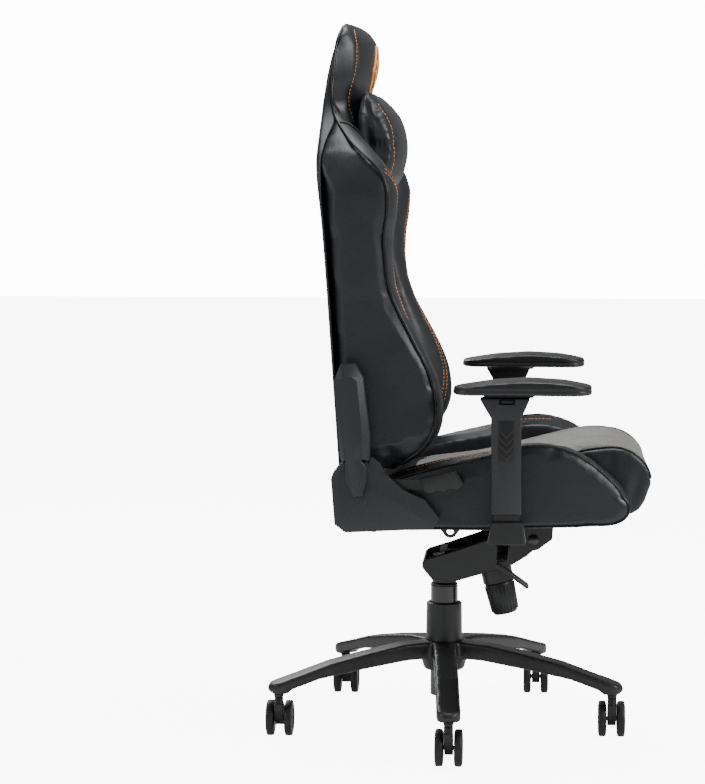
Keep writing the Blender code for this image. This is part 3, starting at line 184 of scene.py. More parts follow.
def leather(name, code, rough=0.40):
    """PU leather: an embossed pebble grain under a satin coat, paler where it is rubbed."""
    made, tree, shader = new_material(name)
    where = add(tree, "ShaderNodeTexCoord").outputs["Object"]
    # pebbles of 1.6 mm, a little coarser than real ones so that they show
    grain = add(tree, "ShaderNodeTexVoronoi", {"Vector": where, "Scale": 620.0},
                feature="SMOOTH_F1")
    folds = add(tree, "ShaderNodeTexNoise", {
        "Vector": where, "Scale": 26.0, "Detail": 3.0, "Roughness": 0.5})
    cloud = add(tree, "ShaderNodeTexNoise", {"Vector": where, "Scale": 7.0, "Detail": 2.0})
    edge = add(tree, "ShaderNodeNewGeometry").outputs["Pointiness"]
    worn = add(tree, "ShaderNodeMapRange", {
        "Value": edge, "From Min": 0.50, "From Max": 0.58, "To Min": 0.0, "To Max": 0.35})
    tone = two_tone(tree, cloud.outputs["Fac"], shade(code, 0.88), shade(code, 1.14))
    mixed = add(tree, "ShaderNodeMix", {0: worn.outputs["Result"], 6: tone,
                                        7: shade(code, 1.7)}, data_type="RGBA")
    rub = add(tree, "ShaderNodeMapRange", {
        "Value": folds.outputs["Fac"], "From Min": 0.3, "From Max": 0.7,
        "To Min": rough - 0.05, "To Max": rough + 0.07})
    soft = add(tree, "ShaderNodeBump", {
        "Height": folds.outputs["Fac"], "Strength": 0.25, "Distance": 0.003})
    fine = add(tree, "ShaderNodeBump", {
        "Height": grain.outputs["Distance"], "Strength": 0.22, "Distance": 0.0006,
        "Normal": soft.outputs["Normal"]})
    connect(tree, shader, mixed.outputs[2], rub.outputs["Result"], fine.outputs["Normal"])
    shader.inputs["Specular IOR Level"].default_value = 0.36
    return made


def seat_panel(name, code):
    """Grey PU leather with a woven emboss and rows of perforations, on its own girth map."""
    made, tree, shader = new_material(name)
    where = add(tree, "ShaderNodeAttribute", attribute_name="girth").outputs["Vector"]
    # holes every 3.6 mm, rows of thread-like emboss every 1.8 mm
    holes = add(tree, "ShaderNodeTexVoronoi", {
        "Vector": where, "Scale": 280.0, "Randomness": 0.0}, voronoi_dimensions="2D")
    hole = add(tree, "ShaderNodeMapRange", {
        "Value": holes.outputs["Distance"], "From Min": 0.20, "From Max": 0.32})
    weave = add(tree, "ShaderNodeTexWave", {
        "Vector": where, "Scale": 88.0, "Distortion": 0.6, "Detail": 1.0},
        wave_type="BANDS", bands_direction="DIAGONAL")
    cloud = add(tree, "ShaderNodeTexNoise", {"Vector": where, "Scale": 14.0, "Detail": 3.0})
    tone = two_tone(tree, cloud.outputs["Fac"], shade(code, 0.86), shade(code, 1.10))
    rows = add(tree, "ShaderNodeMix", {0: weave.outputs["Fac"], 6: shade(code, 0.72), 7: tone},
               data_type="RGBA")
    mixed = add(tree, "ShaderNodeMix", {0: hole.outputs["Result"], 6: linear("26262a"),
                                        7: rows.outputs[2]}, data_type="RGBA")
    height = add(tree, "ShaderNodeMath", {0: hole.outputs["Result"], 1: weave.outputs["Fac"]},
                 operation="ADD")
    bump = add(tree, "ShaderNodeBump", {
        "Height": height.outputs["Value"], "Strength": 0.5, "Distance": 0.0007})
    connect(tree, shader, mixed.outputs[2], None, bump.outputs["Normal"])
    shader.inputs["Roughness"].default_value = 0.58
    shader.inputs["Sheen Weight"].default_value = 0.2
    return made


def moulded(name, code, rough=0.46, grit=0.0011, depth=0.35):
    """Moulded ABS or nylon: spark-eroded grit, smoother and paler where hands rub it."""
    made, tree, shader = new_material(name)
    where = add(tree, "ShaderNodeTexCoord").outputs["Object"]
    # grit drawn at about a millimetre, coarser than the tool's own so that it shows
    grains = add(tree, "ShaderNodeTexNoise", {
        "Vector": where, "Scale": 1.0 / grit, "Detail": 2.0, "Roughness": 0.6})
    cloud = add(tree, "ShaderNodeTexNoise", {"Vector": where, "Scale": 11.0, "Detail": 2.0})
    edge = add(tree, "ShaderNodeNewGeometry").outputs["Pointiness"]
    worn = add(tree, "ShaderNodeMapRange", {
        "Value": edge, "From Min": 0.52, "From Max": 0.62, "To Min": 0.0, "To Max": 0.4})
    tone = two_tone(tree, cloud.outputs["Fac"], shade(code, 0.92), shade(code, 1.10))
    mixed = add(tree, "ShaderNodeMix", {0: worn.outputs["Result"], 6: tone,
                                        7: shade(code, 2.1)}, data_type="RGBA")
    rub = add(tree, "ShaderNodeMapRange", {
        "Value": cloud.outputs["Fac"], "To Min": rough - 0.06, "To Max": rough + 0.08})
    bump = add(tree, "ShaderNodeBump", {
        "Height": grains.outputs["Fac"], "Strength": depth, "Distance": 0.0004})
    connect(tree, shader, mixed.outputs[2], rub.outputs["Result"], bump.outputs["Normal"])
    shader.inputs["Specular IOR Level"].default_value = 0.36
    return made


def painted(name, code, rough=0.30, coat=0.25):
    """Black paint on cast or drawn metal: faint orange peel, thin and paler on the edges."""
    made, tree, shader = new_material(name)
    where = add(tree, "ShaderNodeTexCoord").outputs["Object"]
    # orange peel with waves of about 3 mm
    peel = add(tree, "ShaderNodeTexNoise", {"Vector": where, "Scale": 330.0, "Detail": 1.0})
    cloud = add(tree, "ShaderNodeTexNoise", {"Vector": where, "Scale": 9.0, "Detail": 3.0})
    edge = add(tree, "ShaderNodeNewGeometry").outputs["Pointiness"]
    worn = add(tree, "ShaderNodeMapRange", {
        "Value": edge, "From Min": 0.53, "From Max": 0.64, "To Min": 0.0, "To Max": 0.45})
    tone = two_tone(tree, cloud.outputs["Fac"], shade(code, 0.90), shade(code, 1.12))
    mixed = add(tree, "ShaderNodeMix", {0: worn.outputs["Result"], 6: tone,
                                        7: shade(code, 2.6)}, data_type="RGBA")
    rub = add(tree, "ShaderNodeMapRange", {
        "Value": cloud.outputs["Fac"], "To Min": rough - 0.06, "To Max": rough + 0.10})
    bump = add(tree, "ShaderNodeBump", {
        "Height": peel.outputs["Fac"], "Strength": 0.12, "Distance": 0.0006})
    connect(tree, shader, mixed.outputs[2], rub.outputs["Result"], bump.outputs["Normal"])
    shader.inputs["Metallic"].default_value = 0.25
    shader.inputs["Coat Weight"].default_value = coat
    shader.inputs["Coat Roughness"].default_value = 0.25
    return made


def steel(name, code="9a9b9d", rough=0.28):
    """Bright zinc-plated steel: fine turning lines and a cloudy plating."""
    made, tree, shader = new_material(name)
    where = add(tree, "ShaderNodeTexCoord").outputs["Object"]
    lines = add(tree, "ShaderNodeTexWave", {
        "Vector": where, "Scale": 160.0, "Distortion": 3.0, "Detail": 2.0},
        bands_direction="Z")
    cloud = add(tree, "ShaderNodeTexNoise", {"Vector": where, "Scale": 60.0, "Detail": 3.0})
    tone = two_tone(tree, cloud.outputs["Fac"], shade(code, 0.8), shade(code, 1.1))
    rub = add(tree, "ShaderNodeMapRange", {
        "Value": lines.outputs["Fac"], "To Min": rough, "To Max": rough + 0.14})
    bump = add(tree, "ShaderNodeBump", {
        "Height": lines.outputs["Fac"], "Strength": 0.08, "Distance": 0.0002})
    connect(tree, shader, tone, rub.outputs["Result"], bump.outputs["Normal"])
    shader.inputs["Metallic"].default_value = 1.0
    return made


def thread(name, code, pitch=0.0012):
    """Twisted polyester thread: slanting strands with a soft sheen."""
    made, tree, shader = new_material(name)
    where = add(tree, "ShaderNodeTexCoord").outputs["Object"]
    strands = add(tree, "ShaderNodeTexWave", {
        "Vector": where, "Scale": 1.0 / pitch / 6.283, "Distortion": 0.4},
        bands_direction="DIAGONAL")
    tone = two_tone(tree, strands.outputs["Fac"], shade(code, 0.72), shade(code, 1.18), 0.2, 0.8)
    bump = add(tree, "ShaderNodeBump", {
        "Height": strands.outputs["Fac"], "Strength": 0.4, "Distance": 0.0003})
    connect(tree, shader, tone, None, bump.outputs["Normal"])
    shader.inputs["Roughness"].default_value = 0.55
    shader.inputs["Sheen Weight"].default_value = 0.4
    return made


def embroidery(name, code):
    """Satin-stitched thread that fades from deep orange below to amber above."""
    made, tree, shader = new_material(name)
    where = add(tree, "ShaderNodeTexCoord").outputs["Object"]
    height = add(tree, "ShaderNodeSeparateXYZ", {"Vector": where}).outputs["Z"]
    fade = add(tree, "ShaderNodeMapRange", {
        "Value": height, "From Min": 1.14, "From Max": 1.24}).outputs["Result"]
    tone = two_tone(tree, fade, linear(code), linear("fbb34a"), 0.0, 1.0)
    strands = add(tree, "ShaderNodeTexWave", {
        "Vector": where, "Scale": 150.0, "Distortion": 0.5}, bands_direction="Z")
    dull = add(tree, "ShaderNodeMix", {0: strands.outputs["Fac"], 6: shade(code, 0.7), 7: tone},
               data_type="RGBA")
    bump = add(tree, "ShaderNodeBump", {
        "Height": strands.outputs["Fac"], "Strength": 0.5, "Distance": 0.0003})
    connect(tree, shader, dull.outputs[2], None, bump.outputs["Normal"])
    shader.inputs["Roughness"].default_value = 0.42
    shader.inputs["Sheen Weight"].default_value = 0.5
    return made


def webbing(name):
    """Woven polypropylene seat webbing: two sets of 2 mm threads over and under."""
    made, tree, shader = new_material(name)
    where = add(tree, "ShaderNodeTexCoord").outputs["Object"]
    weave = add(tree, "ShaderNodeTexBrick", {
        "Vector": where, "Scale": 250.0, "Mortar Size": 0.03, "Color1": linear("3b3a38"),
        "Color2": linear("2c2b2a"), "Mortar": linear("121212")})
    bump = add(tree, "ShaderNodeBump", {
        "Height": weave.outputs["Fac"], "Strength": 0.6, "Distance": 0.0005}, invert=True)
    connect(tree, shader, weave.outputs["Color"], None, bump.outputs["Normal"])
    shader.inputs["Roughness"].default_value = 0.8
    return made


def floor_paper(name):
    """Matt white studio paper with a barely visible tooth, lit through from below."""
    made, tree, shader = new_material(name)
    where = add(tree, "ShaderNodeTexCoord").outputs["Object"]
    tooth = add(tree, "ShaderNodeTexNoise", {"Vector": where, "Scale": 40.0, "Detail": 3.0})
    tone = two_tone(tree, tooth.outputs["Fac"], linear("f1f1f1"), linear("f7f7f7"))
    connect(tree, shader, tone)
    seen = add(tree, "ShaderNodeLightPath").outputs["Is Camera Ray"]
    glow = add(tree, "ShaderNodeMapRange", {"Value": seen, "To Min": 0.10, "To Max": 9.0})
    tree.links.new(tone, shader.inputs["Emission Color"])
    tree.links.new(glow.outputs["Result"], shader.inputs["Emission Strength"])
    shader.inputs["Roughness"].default_value = 0.9
    return made


FINISHES = {}


def finish(name):
    """A material by its short name, made the first time it is asked for."""
    if name in FINISHES:
        return FINISHES[name]
    look = colours()
    makers = {
        "leather": lambda: leather("PU leather", look.leather, 0.40),
        "piping": lambda: leather("PU leather piping", "0d0d0e", 0.30),
        "panel": lambda: seat_panel("Perforated seat leather", look.panel),
        "thread": lambda: thread("Polyester thread", look.thread),
        "motif": lambda: embroidery("Embroidery thread", look.motif),
        "cover": lambda: moulded("ABS grained", look.plastic, 0.50, 0.0013, 0.5),
        "arm": lambda: moulded("ABS satin", "1c1d1f", 0.42),
        "nylon": lambda: moulded("Nylon moulded", "0f1011", 0.34),
        "satin": lambda: moulded("Polypropylene satin", "131415", 0.38),
        "foam": lambda: moulded("PU foam skin", "121315", 0.40, 0.0016, 0.6),
        "rubber": lambda: moulded("PU tread", "0e0e0f", 0.5),
        "paint": lambda: painted("Cast aluminium painted", look.paint, 0.40, 0.12),
        "tube": lambda: painted("Steel tube painted", "0f1011", 0.24, 0.4),
        "powder": lambda: painted("Steel powder coated", "0f1011", 0.38, 0.1),
        "steel": lambda: steel("Steel zinc plated"),
        "webbing": lambda: webbing("Polypropylene webbing"),
        "paper": lambda: floor_paper("Studio paper"),
    }
    FINISHES[name] = makers[name]()
    return FINISHES[name]


# ---------------------------------------------------------------- mesh helpers
def place(x, y, z):
    """A point measured from the gas column's axis, in the CAD frame."""
    return Vector((x + AXIS_X, y, z))


def link(name, mesh):
    obj = bpy.data.objects.new(name, mesh)
    bpy.context.scene.collection.objects.link(obj)
    return obj


def from_bmesh(name, bm, smooth=35.0):
    mesh = bpy.data.meshes.new(name)
    bm.to_mesh(mesh)
    bm.free()
    mesh.shade_smooth()
    mesh.set_sharp_from_angle(angle=math.radians(smooth))
    return link(name, mesh)


def baked(obj):
    """The object with its modifiers applied."""
    bpy.context.view_layer.update()
    evaluated = obj.evaluated_get(bpy.context.evaluated_depsgraph_get())
    mesh = bpy.data.meshes.new_from_object(evaluated)
    obj.modifiers.clear()
    obj.data = mesh
    mesh.name = obj.name
    return obj


def settle(obj, body, look, slot, *nodes):
    """Give a finished piece its material and body, and hide the CAD nodes it stands for."""
    if look:
        obj.data.materials.clear()
        for name in ([look] if isinstance(look, str) else look):
            obj.data.materials.append(finish(name))
    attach(obj, body)
    if nodes:
        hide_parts(*nodes)
    return obj


def merged(node):
    """A CAD node's shape with its loose triangles joined into flat faces."""
    bm = bmesh.new()
    bm.from_mesh(frame["nodes"][node].data)
    bmesh.ops.remove_doubles(bm, verts=bm.verts, dist=1e-5)
    bmesh.ops.dissolve_limit(bm, angle_limit=math.radians(1.0), verts=bm.verts, edges=bm.edges)
    return bm


def eased(name, node, width, body, look, slot, segments=2):
    """A hard piece: the CAD shape with its edges eased."""
    obj = from_bmesh(name, merged(node))
    bevel = obj.modifiers.new("eased edges", "BEVEL")
    bevel.width = width
    bevel.segments = segments
    bevel.angle_limit = math.radians(35)
    bevel.harden_normals = True
    return settle(obj, body, look, slot, node)


def voxels(name, node, size):
    """The CAD shape as an even skin of small quads."""
    bm = bmesh.new()
    bm.from_mesh(frame["nodes"][node].data)
    bmesh.ops.remove_doubles(bm, verts=bm.verts, dist=1e-5)
    obj = from_bmesh(name, bm)
    remesh = obj.modifiers.new("skin", "REMESH")
    remesh.mode = "VOXEL"
    remesh.voxel_size = size
    remesh.use_smooth_shade = True
    return baked(obj)


def smoothed(obj, times, factor=0.5):
    bm = bmesh.new()
    bm.from_mesh(obj.data)
    for _ in range(times):
        bmesh.ops.smooth_vert(bm, verts=bm.verts, factor=factor,
                              use_axis_x=True, use_axis_y=True, use_axis_z=True)
    bm.to_mesh(obj.data)
    bm.free()
    return obj


def divided(obj):
    modifier = obj.modifiers.new("subdivision", "SUBSURF")
    modifier.levels = 1
    modifier.render_levels = 1
    baked(obj)
    obj.data.shade_smooth()
    return obj


def swollen(obj, cap, held=None):
    """Swell a cover with air pressure; held(point) keeps points still, cap limits the rest."""
    options = sizes()
    scene = bpy.context.scene
    before = [v.co.copy() for v in obj.data.vertices]
    if held:
        group = obj.vertex_groups.new(name="held")
        group.add([i for i, p in enumerate(before) if held(p)], 1.0, "REPLACE")
    cloth = obj.modifiers.new("cloth", "CLOTH")
    settings = cloth.settings
    settings.quality = 5
    settings.use_pressure = True
    settings.uniform_pressure_force = options.pressure
    settings.effector_weights.gravity = 0.0
    if held:
        settings.vertex_group_mass = "held"
    cloth.collision_settings.use_collision = False
    cloth.point_cache.frame_start = 1
    cloth.point_cache.frame_end = options.frames
    for step in range(1, options.frames + 1):
        scene.frame_set(step)
    baked(obj)
    scene.frame_set(1)
    obj.vertex_groups.clear()
    for vertex, start in zip(obj.data.vertices, before):
        move = vertex.co - start
        if move.length > cap:
            vertex.co = start + move * (cap / move.length)
    return obj


def shaped(obj, rule):
    """Move every point by a rule: point -> new point."""
    for vertex in obj.data.vertices:
        vertex.co = rule(vertex.co)
    obj.data.update()
    return obj


def grooved(obj, route, radius, depth):
    """Press a seam into a cover along a route."""
    points = resampled(route, radius / 2)
    tree = KDTree(len(points))
    for index, point in enumerate(points):
        tree.insert(point, index)
    tree.balance()
    normals = [v.normal.copy() for v in obj.data.vertices]
    for vertex, normal in zip(obj.data.vertices, normals):
        _, _, distance = tree.find(vertex.co)
        if distance < radius:
            share = 1.0 - (distance / radius) ** 2
            vertex.co = vertex.co - normal * (depth * share * share)
    obj.data.update()
    return obj


def mirror_copy(obj, name):
    """The same piece on the other side of the chair."""
    bm = bmesh.new()
    bm.from_mesh(obj.data)
    bmesh.ops.scale(bm, vec=(1.0, -1.0, 1.0), verts=bm.verts)
    bmesh.ops.reverse_faces(bm, faces=bm.faces)
    made = bpy.data.meshes.new(name)
    bm.to_mesh(made)
    bm.free()
    return link(name, made)


def skin(obj):
    bm = bmesh.new()
    bm.from_mesh(obj.data)
    tree = BVHTree.FromBMesh(bm)
    bm.free()
    return tree


def cast(tree, origin, direction):
    """The first hit of a ray on a skin, or None."""
    return tree.ray_cast(Vector(origin), Vector(direction))[0]


def front_of(tree, y, z):
    return cast(tree, (1.0, y, z), (-1, 0, 0))


def top_of(tree, x, y):
    return cast(tree, (x, y, 1.5), (0, 0, -1))


def laid(tree, points, lift):
    """Points moved onto a skin, then off it along its normal."""
    made = []
    for point in points:
        spot, normal, _, _ = tree.find_nearest(point)
        made.append(spot + normal * lift)
    return made


def resampled(points, step):
    """A route with a point every step, along smooth curves through the given points."""
    smooth = []
    count = len(points)
    for i in range(count - 1):
        a, b = points[max(i - 1, 0)], points[i]
        c, d = points[i + 1], points[min(i + 2, count - 1)]
        parts = max(2, int((c - b).length / step))
        for k in range(parts):
            t = k / parts
            smooth.append(0.5 * (2 * b + (c - a) * t + (2 * a - 5 * b + 4 * c - d) * t * t
                                 + (3 * b - a - 3 * c + d) * t * t * t))
    smooth.append(points[-1])
    return smooth


def cord_mesh(name, points, radius, closed=False, sides=3):
    """A sewn-in cord along a route."""
    curve = bpy.data.curves.new(name, "CURVE")
    curve.dimensions = "3D"
    curve.bevel_depth = radius
    curve.bevel_resolution = sides
    curve.use_fill_caps = True
    spline = curve.splines.new("POLY")
    spline.points.add(len(points) - 1)
    for knot, point in zip(spline.points, points):
        knot.co = (*point, 1.0)
    spline.use_cyclic_u = closed
    helper = link(name + "_route", curve)
    bpy.context.view_layer.update()
    evaluated = helper.evaluated_get(bpy.context.evaluated_depsgraph_get())
    mesh = bpy.data.meshes.new_from_object(evaluated)
    bpy.data.objects.remove(helper, do_unlink=True)
    mesh.name = name
    mesh.shade_smooth()
    return link(name, mesh)


def piped(name, route, body, tree=None, closed=False):
    """Piping along a route, half sunk in the cover it lies on."""
    radius = sizes().piping
    points = resampled(route + route[:1] if closed else route, 0.006)
    if closed:
        points.pop()
    if tree:
        points = laid(tree, points, radius * 0.45)
    obj = cord_mesh(name, points, radius, closed)
    return settle(obj, body, "piping", "leather")


def sewn(name, route, body, tree, slot="leather"):
    """A row of stitches on a cover along a route."""
    size = sizes()
    points = laid(tree, resampled(route, 0.0012), size.thread * 0.25)
    bm = bmesh.new()
    travelled, start = 0.0, points[0]
    for before, after in zip(points, points[1:]):
        travelled += (after - before).length
        if travelled >= size.stitch and start is not None:
            along = after - start
            turn = along.to_track_quat("Z", "Y").to_matrix().to_4x4()
            spot = Matrix.Translation((start + after) / 2) @ turn
            bmesh.ops.create_uvsphere(
                bm, u_segments=6, v_segments=4, radius=1.0,
                matrix=spot @ Matrix.Diagonal((size.thread, size.thread * 0.8,
                                               along.length / 2, 1.0)))
            start = None
        if travelled >= size.stitch + size.stitch_gap:
            travelled, start = 0.0, after
    return settle(from_bmesh(name, bm, 60), body, "thread", slot)


def prism(points, low, high, axis="Y"):
    """A flat outline pushed out along an axis; points are (X, Z) for Y and (X, Y) for Z."""
    bm = bmesh.new()
    if axis == "Y":
        corners = [bm.verts.new((x, low, z)) for x, z in points]
        push = Vector((0, high - low, 0))
    else:
        corners = [bm.verts.new((x, y, low)) for x, y in points]
        push = Vector((0, 0, high - low))
    face = bm.faces.new(corners)
    made = bmesh.ops.extrude_face_region(bm, geom=[face])["geom"]
    bmesh.ops.translate(bm, vec=push, verts=[v for v in made if isinstance(v, bmesh.types.BMVert)])
    bmesh.ops.recalc_face_normals(bm, faces=bm.faces)
    return bm


def eased_edges(bm, width, segments=2, angle=30.0):
    edges = [e for e in bm.edges if e.is_manifold and e.calc_face_angle(0) > math.radians(angle)]
    bmesh.ops.bevel(bm, geom=edges, offset=width, segments=segments, profile=0.5,
                    affect="EDGES", material=-1, clamp_overlap=True)
    return bm


def lathed(profile, spot, axis="Z", steps=48):
    """A closed profile of (radius, distance) spun about an axis through a spot."""
    bm = bmesh.new()
    corners = [bm.verts.new((r, 0.0, h)) for r, h in profile]
    for a, b in zip(corners, corners[1:]):
        bm.edges.new((a, b))
    if profile[0][0] > 0 and profile[-1][0] > 0:
        bm.edges.new((corners[-1], corners[0]))
    bmesh.ops.spin(bm, geom=bm.verts[:] + bm.edges[:], cent=(0, 0, 0), axis=(0, 0, 1),
                   angle=math.tau, steps=steps, use_merge=True, use_duplicate=False)
    bmesh.ops.remove_doubles(bm, verts=bm.verts, dist=1e-6)
    bmesh.ops.recalc_face_normals(bm, faces=bm.faces)
    turn = {"X": Matrix.Rotation(math.pi / 2, 4, "Y"), "Y": Matrix.Rotation(-math.pi / 2, 4, "X"),
            "Z": Matrix.Identity(4)}[axis]
    bm.transform(Matrix.Translation(spot) @ turn)
    return bm


def joined(pieces):
    """Several bmeshes as one."""
    whole = bmesh.new()
    for piece in pieces:
        mesh = bpy.data.meshes.new("part")
        piece.to_mesh(mesh)
        piece.free()
        whole.from_mesh(mesh)
        bpy.data.meshes.remove(mesh)
    return whole


def between(value, low, high):
    """0 below low, 1 above high, and a smooth step between them."""
    share = min(1.0, max(0.0, (value - low) / (high - low)))
    return share * share * (3 - 2 * share)


def along_height(route, z):
    """Other values of a route at a height; the route runs upwards in its last value."""
    if z <= route[0][-1]:
        return route[0][:-1]
    for a, b in zip(route, route[1:]):
        if z <= b[-1]:
            share = (z - a[-1]) / (b[-1] - a[-1])
            return tuple(p + (q - p) * share for p, q in zip(a[:-1], b[:-1]))
    return route[-1][:-1]


# ---------------------------------------------------------------- the back
# piping from the foot of the wing, up its front edge, over the shoulder and up the head
BACK_PIPING = [
    (-0.083, 0.2300, 0.5009), (-0.0340, 0.2431, 0.5379), (-0.0080, 0.2510, 0.5771),
    (-0.0037, 0.2510, 0.5996), (-0.0047, 0.2510, 0.6375), (-0.0152, 0.2510, 0.6804),
    (-0.0410, 0.2510, 0.7318), (-0.0754, 0.2510, 0.8001), (-0.0856, 0.2533, 0.8344),
    (-0.0922, 0.2578, 0.9027), (-0.0888, 0.2596, 0.9367), (-0.0887, 0.2615, 0.9876),
    (-0.0975, 0.2579, 1.0129), (-0.1237, 0.2487, 1.0417), (-0.1527, 0.2260, 1.0673),
    (-0.1763, 0.1897, 1.0985), (-0.1840, 0.1740, 1.1107), (-0.1900, 0.1640, 1.1247),
    (-0.1928, 0.1560, 1.1423), (-0.1933, 0.1512, 1.1597), (-0.1925, 0.1498, 1.1771),
    (-0.1903, 0.1447, 1.2118), (-0.1874, 0.1374, 1.2380), (-0.1845, 0.1215, 1.2625),
    (-0.1820, 0.0980, 1.2765), (-0.1812, 0.0500, 1.2790), (-0.1810, 0.0, 1.2795)]


# half width of the back at each height
BACK_HALF = [
    (0.2510, 0.500), (0.2510, 0.800), (0.2624, 0.980), (0.2620, 1.000), (0.2583, 1.020),
    (0.2507, 1.040), (0.2354, 1.060), (0.2134, 1.080), (0.1890, 1.100), (0.1700, 1.120),
    (0.1590, 1.135), (0.1522, 1.150), (0.1500, 1.170), (0.1478, 1.200), (0.1382, 1.240),
    (0.1248, 1.260), (0.1112, 1.270), (0.0980, 1.277)]
# where the side panels end at the rear: the recess below, the shoulder seam above
SIDE_END = [
    (-0.1720, 0.600), (-0.1800, 0.720), (-0.1935, 0.920), (-0.1995, 1.008), (-0.2090, 1.024),
    (-0.2085, 1.045), (-0.2060, 1.058), (-0.2030, 1.0725), (-0.1960, 1.090), (-0.1870, 1.107),
    (-0.1810, 1.125)]
# where the rear panel's flanks end at the front
FLANK_END = [
    (-0.1690, 0.500), (-0.1780, 0.600), (-0.1995, 0.900), (-0.2043, 1.000), (-0.2050, 1.030),
    (-0.2040, 1.045), (-0.2015, 1.058), (-0.1975, 1.0725), (-0.1905, 1.090), (-0.1820, 1.107),
    (-0.1850, 1.114), (-0.1905, 1.128), (-0.1930, 1.1423), (-0.1933, 1.160), (-0.1915, 1.190),
    (-0.1880, 1.235), (-0.1820, 1.262), (-0.1790, 1.277)]


HEAD_FOOT = 1.16               # above this height the head's own width is kept
SHOULDER_EASE = (0.99, 1.02)   # the easing comes in between these heights
SHOULDER_REACH = 0.034         # how far up and down the width is averaged


def smooth_row(table, z, reach=0.012):
    """A table's value at a height, eased over its corners."""
    spots = [along_height(table, z + reach * k / 3)[0] for k in range(-3, 4)]
    return sum(spots) / len(spots)


def shoulder(z):
    """Half width of the back with its shoulders eased."""
    width = along_height(BACK_HALF, z)[0]
    if z >= HEAD_FOOT:
        return width
    share = between(z, *SHOULDER_EASE)
    return width * (1 - share) + smooth_row(BACK_HALF, z, SHOULDER_REACH) * share


def rear_panel():
    """The leather shell over the back: a rounded section lofted up the back."""
    cad = skin(frame["nodes"]["back_cover"])
    rings = []
    heights = [0.5005 + 0.7765 * k / 92 for k in range(93)]
    for z in heights:
        rear = cast(cad, (-1.0, 0.0, min(z, 1.2715)), (1, 0, 0)).x - AXIS_X
        rear += 0.3 * max(z - 1.2715, 0.0) - 0.0035 * math.exp(-((z - 1.02) / 0.06) ** 2)
        inset = 0.0032 * (1.0 - between(z, 1.005, 1.030))
        half = shoulder(z) - inset
        front = smooth_row(FLANK_END, z, 0.006)
        depth = max(front - rear, 0.004)
        turn = min(0.0065, depth * 0.8)
        side = []
        for k in range(11):
            share = k / 10
            side.append((rear + 0.0006 * math.cos(share * 9.0), (half - turn) * share))
        for k in range(1, 6):
            angle = math.pi / 2 * k / 5
            side.append((rear + turn * (1 - math.cos(angle)) * 0.9,
                         half - turn + turn * math.sin(angle)))
        side.append((rear + depth * 0.97, half - 0.0002))
        side.append((rear + depth, half - 0.0030))
        side.append((rear + depth * 0.8, half * 0.90))
        ring = [place(x, -y, z) for x, y in reversed(side)]
        ring += [place(x, y, z) for x, y in side[1:]]
        rings.append(ring)
    return rings


def lofted(rings):
    """A closed shell through rings of points, flat at both ends."""
    bm = bmesh.new()
    loops = [[bm.verts.new(p) for p in ring] for ring in rings]
    count = len(loops[0])
    for low, high in zip(loops, loops[1:]):
        for k in range(count):
            bm.faces.new((low[k], low[(k + 1) % count], high[(k + 1) % count], high[k]))
    bm.faces.new(list(reversed(loops[0])))
    bm.faces.new(loops[-1])
    bmesh.ops.recalc_face_normals(bm, faces=bm.faces)
    return bm


# piping across the top of the wing, from the shoulder piping to behind the pillow
NECK_ARCH = [
    (-0.1780, 0.1860, 1.1030), (-0.1700, 0.1845, 1.1060), (-0.1595, 0.1800, 1.1072),
    (-0.1500, 0.1760, 1.1000), (-0.1430, 0.1750, 1.0850), (-0.1390, 0.1760, 1.0700)]


